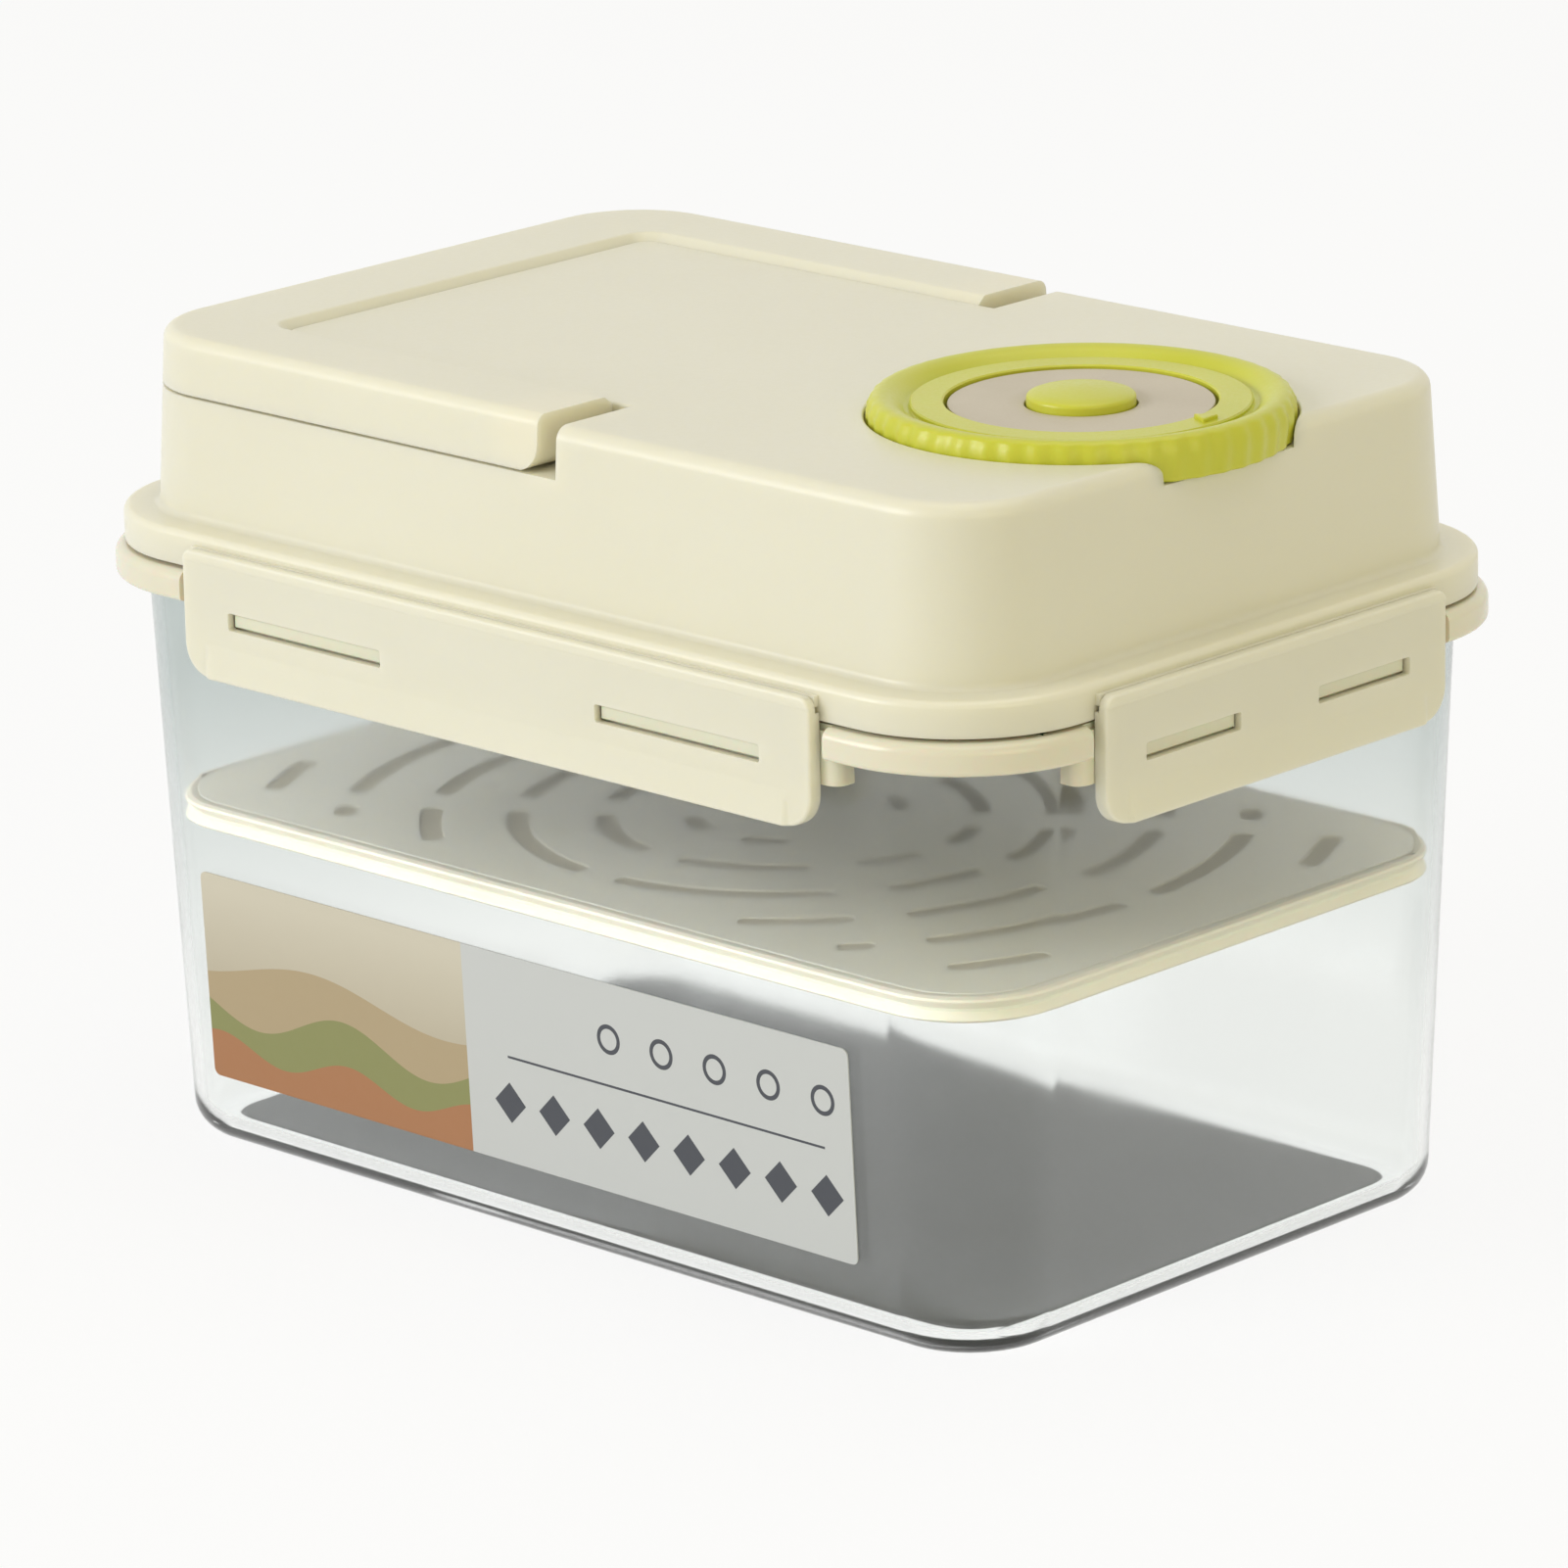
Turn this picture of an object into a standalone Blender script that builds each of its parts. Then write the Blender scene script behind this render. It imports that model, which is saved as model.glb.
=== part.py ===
"""Pickle container: clear box, domed snap-on lid with a folding carry handle,
a date dial with a press-to-vent valve, and a perforated press plate inside.

Metres, +Z up.  X runs along the length, the front is -Y, the dial end is +X,
and the origin is the centre of the base.
"""
import math

import bmesh
import bpy
from mathutils import Matrix, Vector

MM = 0.001

# Plan of the lid flange. Every wall outline is an offset from this one.
flange_length = 244 * MM
flange_width = 162 * MM
flange_corner_radius = 29.5 * MM
corner_steps = 6
round_steps = 48
small_steps = 32

# Clear box
box_height = 122.9 * MM
box_wall = 2.2 * MM
wall_top_inset = 4.2 * MM
wall_foot_inset = 9.3 * MM
foot_fillet = 7 * MM
foot_height = 1 * MM
foot_width = 3 * MM
floor_thickness = 2.4 * MM
rim_ledge_thickness = 2.3 * MM
rim_lip_height = 2.6 * MM
rim_lip_round = 0.4 * MM
bead_overhang = 2 * MM
bead_drop = 6.1 * MM
bead_wall = 2.2 * MM
bead_round = 1.1 * MM

# Lid shell
lid_gap = 0.6 * MM
skirt_height = 7 * MM
flange_round = 1.4 * MM
lid_wall = 2.2 * MM
dome_height = 34.5 * MM
dome_foot_inset = 7.3 * MM
dome_top_inset = 9.3 * MM
dome_foot_round = 1.5 * MM
dome_top_round = 3 * MM
plug_depth = 8.8 * MM
plug_clearance = 1.2 * MM

# Gasket in the lid's groove
gasket_gap = 0.3 * MM
gasket_side_clearance = 0.4 * MM
gasket_groove_depth = 0.6 * MM

# Snap latches
front_latch_length = 168 * MM
side_latch_length = 97.4 * MM
latch_stand_off = 2.35 * MM
latch_axis_rise = 3.85 * MM
latch_thickness = 2 * MM
latch_drop = 24.3 * MM
latch_corner_radius = 6.5 * MM
latch_top_corner_radius = 2.5 * MM
latch_band_height = 7 * MM
latch_band_flare = 0.8 * MM
latch_tip_round = 0.7 * MM
hinge_gap = 0.3 * MM
hinge_ledge_height = 2.1 * MM
hinge_ledge_setback = 0.5 * MM
slot_drop = 9.95 * MM
slot_height = 3.5 * MM
front_slot_shares = (0.1714, 0.4244)
side_slot_shares = (0.1140, 0.3881)
lug_clearance = 0.4 * MM
lug_reach = 1.25 * MM
lug_lead = 0.7 * MM
land_overrun = 4 * MM
land_drop = 5.3 * MM
land_corner_radius = 2.6 * MM
rim_relief = 0.9 * MM
rim_relief_overrun = 2.2 * MM

# Carry handle and the step that it lies in
handle_thickness = 11.4 * MM
handle_proud = 1.4 * MM
handle_seat_gap = 0.3 * MM
handle_side_clearance = 0.4 * MM
handle_edge_round = 2.4 * MM
handle_slope_run = 2 * MM
handle_slope_drop = 1.6 * MM
handle_foot_chamfer = 0.5 * MM
handle_shell = 2.4 * MM
handle_web_length = 6.5 * MM
handle_pivot_x = -2.5 * MM
plateau_side_inset = 29.9 * MM
plateau_end_inset = 33.8 * MM
plateau_corner_radius = 3.5 * MM
notch_wall_x = 8.3 * MM
peg_radius = 2.6 * MM
peg_length = 3.6 * MM
peg_clearance = 0.3 * MM
peg_boss_half = 5.2 * MM
peg_steps = 16

# Dial: turning ring, date disc and the lid's hub
dial_end_inset = 45.7 * MM
dial_radius = 40.7 * MM
dial_clearance = 0.35 * MM
dial_seat_gap = 0.3 * MM
dial_height = 8.5 * MM
dial_pocket_depth = 5 * MM
dial_band_width = 6.4 * MM
dial_band_drop = 1.4 * MM
dial_groove_width = 1.2 * MM
dial_groove_drop = 2.6 * MM
dial_crest_inset = 3.1 * MM
dial_shoulder_drop = 1.3 * MM
dial_shoulder_inset = 0.7 * MM
dial_draft = 0.4 * MM
grip_ribs = 48
grip_rib_depth = 0.45 * MM
pointer_setback = 0.4 * MM
pointer_length = 4.6 * MM
pointer_width = 4.6 * MM
pointer_height = 0.8 * MM
pointer_angle = math.radians(4)
hub_radius = 25.6 * MM
hub_web = 2 * MM
hub_drop = 0.3 * MM
disc_thickness = 1.8 * MM
disc_dish = 0.3 * MM
disc_dish_width = 3.5 * MM
disc_edge_inset = 0.3 * MM

# Vent valve in the middle of the dial
button_radius = 10.4 * MM
button_clearance = 0.4 * MM
button_travel = 2.5 * MM
button_rise = 2.8 * MM
button_crown = 1.1 * MM
button_edge_round = 0.9 * MM
button_skirt = 1.8 * MM
button_roof = 2 * MM
button_crown_shares = (0.7, 0.35)
button_edge_sweep = 70
stem_radius = 3 * MM
stem_overhang = 0.4 * MM
well_depth = 5.6 * MM
well_floor = 1.6 * MM
seat_radius = 6 * MM
seat_flange_radius = 8 * MM
seat_flange_height = 1.2 * MM
seat_length = 4.4 * MM
valve_fit = 0.3 * MM
seal_radius = 5.4 * MM
seal_thickness = 1.4 * MM
retainer_radius = 4.5 * MM
retainer_thickness = 1.2 * MM
retainer_steps = 24
spring_wire_radius = 0.3 * MM
spring_radius = 6 * MM
spring_turns = 3
spring_points_per_turn = 8

# Press plate and its wiper ring
plate_rest_height = 66 * MM
plate_rim_height = 5.5 * MM
plate_thickness = 2.2 * MM
plate_rim_wall = 2.6 * MM
plate_edge_round = 0.4 * MM
wiper_clearance = 0.9 * MM
wiper_width = 2.6 * MM
wiper_fit = 0.3 * MM
wiper_notch = 1.1 * MM
wiper_lip_height = 1.1 * MM
wiper_tongue = 0.7 * MM
wiper_tongue_height = 1.2 * MM
drain_first_radius = 19.5 * MM
drain_pitch = 17.3 * MM
drain_rings = 6
drain_width = 4.4 * MM
drain_spoke_width = 9 * MM
drain_rim_margin = 10 * MM
drain_shortest = 5 * MM
drain_step = 8 * MM

# Label on the front wall
label_length = 176 * MM
label_height = 43 * MM
label_thickness = 0.25 * MM
label_gap = 0.2 * MM
label_bottom = 15.5 * MM
label_centre_x = -5 * MM
label_corner_radius = 1.5 * MM

# How far a cutter runs past what it cuts
overrun = 4 * MM

# Sizes worked out from the ones above
half_length = flange_length / 2
half_width = flange_width / 2
plateau_half_width = half_width - plateau_side_inset
plateau_reach = half_length - plateau_end_inset
dial_x = half_length - dial_end_inset
lip_top = box_height + rim_lip_height
skirt_bottom = box_height + lid_gap
flange_top = skirt_bottom + skirt_height
lid_top = flange_top + dome_height
groove_roof = flange_top - lid_wall
plug_inset = wall_top_inset + box_wall + plug_clearance
latch_axis_z = skirt_bottom + latch_axis_rise
slot_top = latch_axis_z - slot_drop
slot_bottom = slot_top - slot_height
bead_bottom = box_height - bead_drop
handle_top = lid_top + handle_proud
handle_bottom = handle_top - handle_thickness
rebate_floor = handle_bottom - handle_seat_gap
handle_pivot_z = handle_bottom + handle_thickness / 2
pocket_floor = lid_top - dial_pocket_depth
dial_bottom = pocket_floor + dial_seat_gap
dial_top = dial_bottom + dial_height
hub_top = lid_top - hub_drop
disc_bottom = hub_top + dial_seat_gap
disc_top = disc_bottom + disc_thickness
button_top = disc_top + button_rise
well_floor_z = hub_top - well_depth
seat_top = well_floor_z + valve_fit + seat_flange_height
seat_bottom = well_floor_z + valve_fit - seat_length - well_floor
seal_top = seat_bottom - valve_fit
retainer_top = seal_top - seal_thickness - valve_fit
retainer_bottom = retainer_top - retainer_thickness
plate_bottom = plate_rest_height
plate_top = plate_bottom + plate_rim_height


def material(name, colour, roughness, transmission=0.0):
    """A plain Principled material."""
    made = bpy.data.materials.new(name)
    made.use_nodes = True
    shader = made.node_tree.nodes["Principled BSDF"]
    shader.inputs["Base Color"].default_value = (*colour, 1)
    shader.inputs["Roughness"].default_value = roughness
    shader.inputs["Transmission Weight"].default_value = transmission
    shader.inputs["Metallic"].default_value = 0
    return made


def wall_inset(z):
    """How far the box's outer wall stands inside the flange outline at a height."""
    share = (z - foot_fillet) / (box_height - foot_fillet)
    return wall_foot_inset + (wall_top_inset - wall_foot_inset) * share


def dome_inset(z):
    """How far the dome's outer wall stands inside the flange outline at a height."""
    share = (z - flange_top) / dome_height
    return dome_foot_inset + (dome_top_inset - dome_foot_inset) * share


def rounded_rectangle(x0, x1, y0, y1, radius, steps=corner_steps):
    """Corner points of a rectangle with round corners, counter-clockwise."""
    points = []
    corners = ((x1, y1, 1, 1, 0), (x0, y1, -1, 1, 1), (x0, y0, -1, -1, 2), (x1, y0, 1, -1, 3))
    for x, y, sign_x, sign_y, quarter in corners:
        for step in range(steps + 1):
            angle = (quarter + step / steps) * math.pi / 2
            points.append((x - sign_x * radius + radius * math.cos(angle),
                           y - sign_y * radius + radius * math.sin(angle)))
    return points


def outline(inset):
    """The flange's plan drawn in (or, below zero, let out) by an even offset."""
    x, y = half_length - inset, half_width - inset
    return rounded_rectangle(-x, x, -y, y, flange_corner_radius - inset)


def arc(centre_a, centre_b, radius, start, end, steps=3):
    """Points of an arc in a section, angles in degrees."""
    angles = [math.radians(start + (end - start) * step / steps) for step in range(steps + 1)]
    return [(centre_a + radius * math.cos(a), centre_b + radius * math.sin(a)) for a in angles]


def finish(bm, name, finish_material, smooth=True):
    """Turn a bmesh into a named object with its faces pointing out."""
    bmesh.ops.recalc_face_normals(bm, faces=bm.faces)
    mesh = bpy.data.meshes.new(name)
    bm.to_mesh(mesh)
    bm.free()
    if finish_material:
        mesh.materials.append(finish_material)
    if smooth:
        mesh.shade_smooth()
        mesh.set_sharp_from_angle(angle=math.radians(35))
    made = bpy.data.objects.new(name, mesh)
    bpy.context.scene.collection.objects.link(made)
    return made


def loft(name, rings, finish_material, closed=False):
    """A solid through rings of points, each ring joined to the next.

    An open loft is capped at both ends. A closed one joins its last ring to its first.
    """
    bm = bmesh.new()
    rows = [[bm.verts.new(point) for point in ring] for ring in rings]
    pairs = list(zip(rows, rows[1:]))
    if closed:
        pairs.append((rows[-1], rows[0]))
    for low, high in pairs:
        for i in range(len(low)):
            j = (i + 1) % len(low)
            bm.faces.new((low[i], low[j], high[j], high[i]))
    if not closed:
        bm.faces.new(rows[0])
        bm.faces.new(rows[-1])
    return finish(bm, name, finish_material)


def wall_loft(name, profile, finish_material, closed=False):
    """A loft whose section is a list of (inset, z) on the flange's plan."""
    rings = [[(x, y, z) for x, y in outline(inset)] for inset, z in profile]
    return loft(name, rings, finish_material, closed)


def prism(name, points, z0, z1, finish_material=None):
    """A plan outline raised from z0 to z1."""
    rings = [[(x, y, z) for x, y in points] for z in (z0, z1)]
    return loft(name, rings, finish_material)


def turned(name, profile, finish_material, segments, rib_depth=0, ribs_from=0):
    """A piece turned about Z from (radius, z) points, closed round its section.

    Where the section meets the axis it is capped there with a single vertex. Outside
    ribs_from every second point of a ring is drawn in by rib_depth.
    """
    bm = bmesh.new()
    columns = []
    for radius, z in profile:
        if radius == 0:
            columns.append([bm.verts.new((0, 0, z))])
            continue
        ring = []
        for i in range(segments):
            angle = 2 * math.pi * i / segments
            r = radius - (rib_depth * (i % 2) if radius > ribs_from else 0)
            ring.append(bm.verts.new((r * math.cos(angle), r * math.sin(angle), z)))
        columns.append(ring)
    on_axis = len(columns[0]) == 1
    pairs = list(zip(columns, columns[1:]))
    if not on_axis:
        pairs.append((columns[-1], columns[0]))
    for a, b in pairs:
        for i in range(segments):
            j = (i + 1) % segments
            corners = [a[i % len(a)], a[j % len(a)], b[j % len(b)], b[i % len(b)]]
            face = list(dict.fromkeys(corners))
            if len(face) > 2:
                bm.faces.new(face)
    return finish(bm, name, finish_material)


def move_mesh(piece, matrix):
    """Place a piece by moving its mesh, with its origin left at the world's."""
    piece.data.transform(matrix)
    piece.data.update()
    return piece


def set_origin(piece, point):
    """Put a piece's origin on its joint axis without moving the piece."""
    piece.data.transform(Matrix.Translation(-Vector(point)))
    piece.location = point
    return piece


def as_cutter(piece):
    """Hide a shape that only cuts or joins others."""
    piece.hide_render = True
    piece.display_type = "WIRE"
    return piece


def combine(piece, tool, operation, solver="EXACT"):
    """Add a Boolean that joins, cuts or keeps what both share."""
    boolean = piece.modifiers.new(tool.name, "BOOLEAN")
    boolean.operation = operation
    boolean.solver = solver
    boolean.object = as_cutter(tool)
    return piece


def side_matrix(side):
    """From a side's own frame (X outwards, Y along it) to the world's."""
    turn, reach = side
    return Matrix.Rotation(turn, 4, "Z") @ Matrix.Translation((reach, 0, 0))


front = (-math.pi / 2, half_width)
back = (math.pi / 2, half_width)
right = (0, half_length)
left = (math.pi, half_length)
latches = (
    ("latch_front", front, front_latch_length, front_slot_shares),
    ("latch_back", back, front_latch_length, front_slot_shares),
    ("latch_right", right, side_latch_length, side_slot_shares),
    ("latch_left", left, side_latch_length, side_slot_shares),
)


def slot_ends(length, shares):
    """The two slots of a latch along its length, each as (start, end)."""
    near, far = (share * length for share in shares)
    return enumerate(((-far, -near), (near, far)))


def side_block(name, side, out0, out1, along0, along1, z0, z1):
    """A block on one side of the box, given outwards from the flange and along the side."""
    points = [(out0, along0), (out1, along0), (out1, along1), (out0, along1)]
    return move_mesh(prism(name, points, z0, z1), side_matrix(side))


def container_box():
    """The clear box: foot, tapered wall, turned-down rim, and lands and lugs for the latches."""
    foot = wall_foot_inset + foot_fillet
    under_ledge = box_height - rim_ledge_thickness
    lip_in = wall_top_inset + box_wall
    inner_fillet = foot_fillet - box_wall
    inner_foot = wall_foot_inset + box_wall
    floor = foot_height + floor_thickness
    bead_inner = bead_wall - bead_overhang
    outer = [(foot + foot_width + foot_height, foot_height), (foot + foot_width, 0), (foot, 0)]
    outer += [(wall_foot_inset + foot_fillet - a, foot_fillet - b)
              for a, b in arc(0, 0, foot_fillet, 90, 0, 4)][1:]
    outer += [(wall_inset(under_ledge), under_ledge), (bead_inner, under_ledge)]
    outer += [(bead_inner, bead_bottom + bead_round / 2), (bead_inner - bead_round / 2, bead_bottom)]
    outer += [(-a, z) for a, z in
              arc(bead_overhang - bead_round, bead_bottom + bead_round, bead_round, -90, 0)]
    outer += [(-a, z) for a, z in
              arc(bead_overhang - bead_wall, box_height - bead_wall, bead_wall, 0, 90, 4)]
    rim = [(wall_top_inset, box_height), (wall_top_inset, lip_top - rim_lip_round),
           (wall_top_inset + rim_lip_round, lip_top), (lip_in - rim_lip_round, lip_top),
           (lip_in, lip_top - rim_lip_round), (lip_in, box_height)]
    inner = [(inner_foot + inner_fillet - a, floor + inner_fillet - b)
             for a, b in arc(0, 0, inner_fillet, 0, 90, 4)]
    box = wall_loft("container_box", outer + rim + inner, clear_plastic)
    for name, side, length, shares in latches:
        half = length / 2
        relief = side_block(name + "_relief", side, rim_relief, bead_overhang + overrun,
                            -half - rim_relief_overrun, half + rim_relief_overrun,
                            bead_bottom - overrun, box_height + overrun)
        combine(box, relief, "DIFFERENCE")
    for name, side, length, shares in latches:
        half = length / 2 + land_overrun
        root = wall_top_inset + box_wall / 2
        plan = rounded_rectangle(-root - land_corner_radius, 0, -half, half, land_corner_radius, 3)
        plan = [(max(a, -root), b) for a, b in plan]
        plan = [p for p, q in zip(plan, plan[1:] + plan[:1]) if (Vector(p) - Vector(q)).length > 0]
        land = prism(name + "_land", plan, bead_bottom - land_drop,
                     under_ledge + rim_ledge_thickness / 2)
        combine(box, move_mesh(land, side_matrix(side)), "UNION")
        tip = latch_stand_off - latch_thickness / 2 + lug_reach
        section = [(-box_wall, slot_bottom + lug_clearance), (tip, slot_bottom + lug_clearance),
                   (tip, slot_top - lug_clearance - lug_lead),
                   (tip - lug_lead, slot_top - lug_clearance), (-box_wall, slot_top - lug_clearance)]
        for end, (along0, along1) in slot_ends(length, shares):
            ends = (along0 + lug_clearance, along1 - lug_clearance)
            rings = [[(a, along, z) for a, z in section] for along in ends]
            lug = move_mesh(loft(name + "_lug_%d" % end, rings, None), side_matrix(side))
            combine(box, lug, "UNION")
    return box


def plateau_path(offset, x_end):
    """The step's inner edge: the raised middle of the lid, open towards the dial."""
    x0 = -plateau_reach - offset
    half = plateau_half_width + offset
    radius = plateau_corner_radius + offset
    corners = rounded_rectangle(x0, x_end + radius, -half, half, radius, 4)
    return [(min(x, x_end), y) for x, y in corners[4:16]]


def step_cutter(name, grow, floor):
    """The U-shaped step round the lid's left half, grown inwards by a wall's thickness."""
    x_end = notch_wall_x + grow
    reach_x, reach_y = half_length + overrun, half_width + overrun
    inner = plateau_path(-grow, x_end)
    points = [(x_end, reach_y), (-reach_x, reach_y), (-reach_x, -reach_y), (x_end, -reach_y)]
    points += [(x, y) for x, y in reversed(inner)]
    return prism(name, points, floor, handle_top + overrun)


def at_dial(piece):
    """Move a turned piece from the world's axis to the dial's."""
    return move_mesh(piece, Matrix.Translation((dial_x, 0, 0)))


def disc(name, radius, z0, z1, segments=round_steps):
    """A round cutter on the dial's axis."""
    return at_dial(turned(name, [(0, z0), (radius, z0), (radius, z1), (0, z1)], None, segments))


def annulus(name, inner, outer, z0, z1, segments=round_steps, finish_material=None):
    """A plain ring on the dial's axis."""
    section = [(inner, z0), (outer, z0), (outer, z1), (inner, z1)]
    return at_dial(turned(name, section, finish_material, segments))


def lid_cavity():
    """The hollow inside the lid, which follows the step, the dial's pocket and the peg bosses."""
    top = lid_top - lid_wall
    plug_bottom = groove_roof - plug_depth
    foot = dome_foot_inset + lid_wall
    inner_round = dome_top_round - lid_wall / 2
    levels = [(foot, plug_bottom - overrun), (foot, flange_top),
              (dome_inset(top - inner_round) + lid_wall, top - inner_round)]
    levels += [(dome_inset(top) + lid_wall + inner_round - a, top - inner_round + b)
               for a, b in arc(0, 0, inner_round, 0, 90, 2)][1:]
    cavity = wall_loft("lid_cavity", levels, None)
    step = step_cutter("step_wall", lid_wall, rebate_floor - lid_wall)
    combine(cavity, step, "DIFFERENCE", "MANIFOLD")
    pocket = disc("pocket_wall", dial_radius + dial_clearance + lid_wall,
                  pocket_floor - lid_wall, lid_top + overrun)
    combine(cavity, pocket, "DIFFERENCE", "MANIFOLD")
    for sign in (-1, 1):
        wall_face = plateau_half_width - lid_wall
        y0, y1 = wall_face - peg_length, wall_face + overrun
        points = [(handle_pivot_x + a * peg_boss_half, sign * y) for a, y in
                  ((-1, y0), (1, y0), (1, y1), (-1, y1))]
        boss = prism("peg_boss_%d" % (sign + 1), points, rebate_floor - lid_wall - overrun,
                     lid_top)
        combine(cavity, boss, "DIFFERENCE", "MANIFOLD")
    core_outer, core_inner = hub_radius - hub_web, button_radius + button_clearance + hub_web
    core = annulus("hub_core", core_inner, core_outer, pocket_floor - lid_wall - overrun,
                   hub_top - hub_web)
    return combine(cavity, core, "UNION", "MANIFOLD")


def rod_along_y(name, radius, y0, y1, finish_material=None):
    """A round rod on the handle's pivot axis."""
    bm = bmesh.new()
    bmesh.ops.create_cone(bm, cap_ends=True, segments=peg_steps, radius1=radius, radius2=radius,
                          depth=abs(y1 - y0))
    turn = Matrix.Rotation(math.pi / 2, 4, "X")
    place = Matrix.Translation((handle_pivot_x, (y0 + y1) / 2, handle_pivot_z))
    bmesh.ops.transform(bm, matrix=place @ turn, verts=bm.verts)
    return finish(bm, name, finish_material)


def handle_step():
    """The step that the handle lies in, with a blind bore for each peg."""
    step = step_cutter("handle_step", 0, rebate_floor)
    for sign in (-1, 1):
        y0 = plateau_half_width - peg_length - peg_clearance
        bore = rod_along_y("peg_bore_%d" % (sign + 1), peg_radius + peg_clearance,
                           sign * y0, sign * (plateau_half_width + overrun))
        combine(step, bore, "UNION", "MANIFOLD")
    return step


def dial_recess():
    """What the lid is cut away for round the hub: dial pocket, button well and seat bore."""
    top = lid_top + overrun
    bore, well = seat_radius + valve_fit, button_radius + button_clearance
    low = pocket_floor - lid_wall - overrun
    profile = [(0, low), (bore, low), (bore, well_floor_z), (well, well_floor_z),
               (well, hub_top), (hub_radius, hub_top), (hub_radius, pocket_floor),
               (dial_radius + dial_clearance, pocket_floor),
               (dial_radius + dial_clearance, top), (0, top)]
    return at_dial(turned("dial_recess", profile, None, round_steps))


def lid_shell():
    """The domed lid: skirt, gasket groove, plug wall, dome, handle step, dial pocket and hub."""
    plug_bottom = groove_roof - plug_depth
    levels = [(plug_inset + box_wall / 4, plug_bottom), (plug_inset, plug_bottom + box_wall / 4),
              (plug_inset, groove_roof), (lid_wall, groove_roof), (lid_wall, skirt_bottom),
              (0, skirt_bottom), (0, flange_top - flange_round)]
    levels += [(flange_round - a, flange_top - flange_round + b)
               for a, b in arc(0, 0, flange_round, 0, 90)][1:]
    levels += [(dome_foot_inset - a, flange_top + dome_foot_round - b) for a, b in
               arc(dome_foot_round, 0, dome_foot_round, 90, 180, 2)]
    base = lid_top - dome_top_round
    levels += [(dome_inset(base) + dome_top_round - a, base + b)
               for a, b in arc(0, 0, dome_top_round, 0, 90, 4)]
    lid = wall_loft("lid_shell", levels, cream_plastic)
    combine(lid, handle_step(), "DIFFERENCE", "MANIFOLD")
    combine(lid, lid_cavity(), "DIFFERENCE", "MANIFOLD")
    combine(lid, dial_recess(), "DIFFERENCE", "MANIFOLD")
    for name, side, length, shares in latches:
        half = length / 2 - hinge_ledge_setback
        out = latch_stand_off - latch_thickness / 2 - hinge_gap
        ledge = side_block(name + "_ledge", side, -lid_wall / 2, out, -half, half,
                           latch_axis_z - hinge_ledge_height / 2,
                           latch_axis_z + hinge_ledge_height / 2)
        combine(lid, ledge, "UNION", "MANIFOLD")
    return lid


def lid_gasket():
    """The silicone ring in the lid's groove, with a groove of its own over the box's lip."""
    outer = lid_wall + gasket_side_clearance
    inner = plug_inset - gasket_side_clearance
    top, bottom = groove_roof - gasket_gap, lip_top + gasket_gap
    low = bottom - gasket_groove_depth
    seat_out, seat_in = wall_top_inset, wall_top_inset + box_wall
    profile = [(outer, low), (outer, top), (inner, top), (inner, low),
               (seat_in + gasket_gap, low), (seat_in, bottom), (seat_out, bottom),
               (seat_out - gasket_gap, low)]
    return wall_loft("lid_gasket", profile, silicone, closed=True)


def latch(name, side, length, shares):
    """A snap latch: hinge roll, face, flared band and two slots for the box's lugs."""
    half, thick = length / 2, latch_thickness / 2
    band = -latch_drop + latch_band_height
    tip = -latch_drop
    section = arc(0, 0, thick, 0, 180, 6)
    section += [(-thick, band), (-thick + latch_band_flare, tip + latch_tip_round),
                (-thick + latch_band_flare + latch_tip_round, tip),
                (thick + latch_band_flare - latch_tip_round, tip),
                (thick + latch_band_flare, tip + latch_tip_round), (thick, band)]
    rings = [[(out, along, z) for out, z in section] for along in (-half, half)]
    piece = loft(name, rings, cream_plastic)
    face = rounded_rectangle(-half, half, tip, thick, latch_corner_radius, 5)
    top = rounded_rectangle(-half, half, tip, thick, latch_top_corner_radius, 3)
    plan = top[:8] + face[12:]
    depth = latch_thickness + latch_band_flare + overrun
    rings = [[(out, along, z) for along, z in plan] for out in (-depth, depth)]
    combine(piece, place_local(loft(name + "_plan", rings, None), side), "INTERSECT")
    for end, (along0, along1) in slot_ends(length, shares):
        points = [(-depth, along0), (depth, along0), (depth, along1), (-depth, along1)]
        slot = prism(name + "_slot_%d" % end, points, -slot_drop - slot_height, -slot_drop)
        combine(piece, place_local(slot, side), "DIFFERENCE")
    return place_local(piece, side)


def place_local(piece, side):
    """Place a piece drawn about its own hinge axis on one side of the lid."""
    turn, reach = side
    axis = Vector((reach + latch_stand_off, 0, latch_axis_z))
    piece.location = Matrix.Rotation(turn, 3, "Z") @ axis
    piece.rotation_euler = (0, 0, turn)
    return piece


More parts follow.
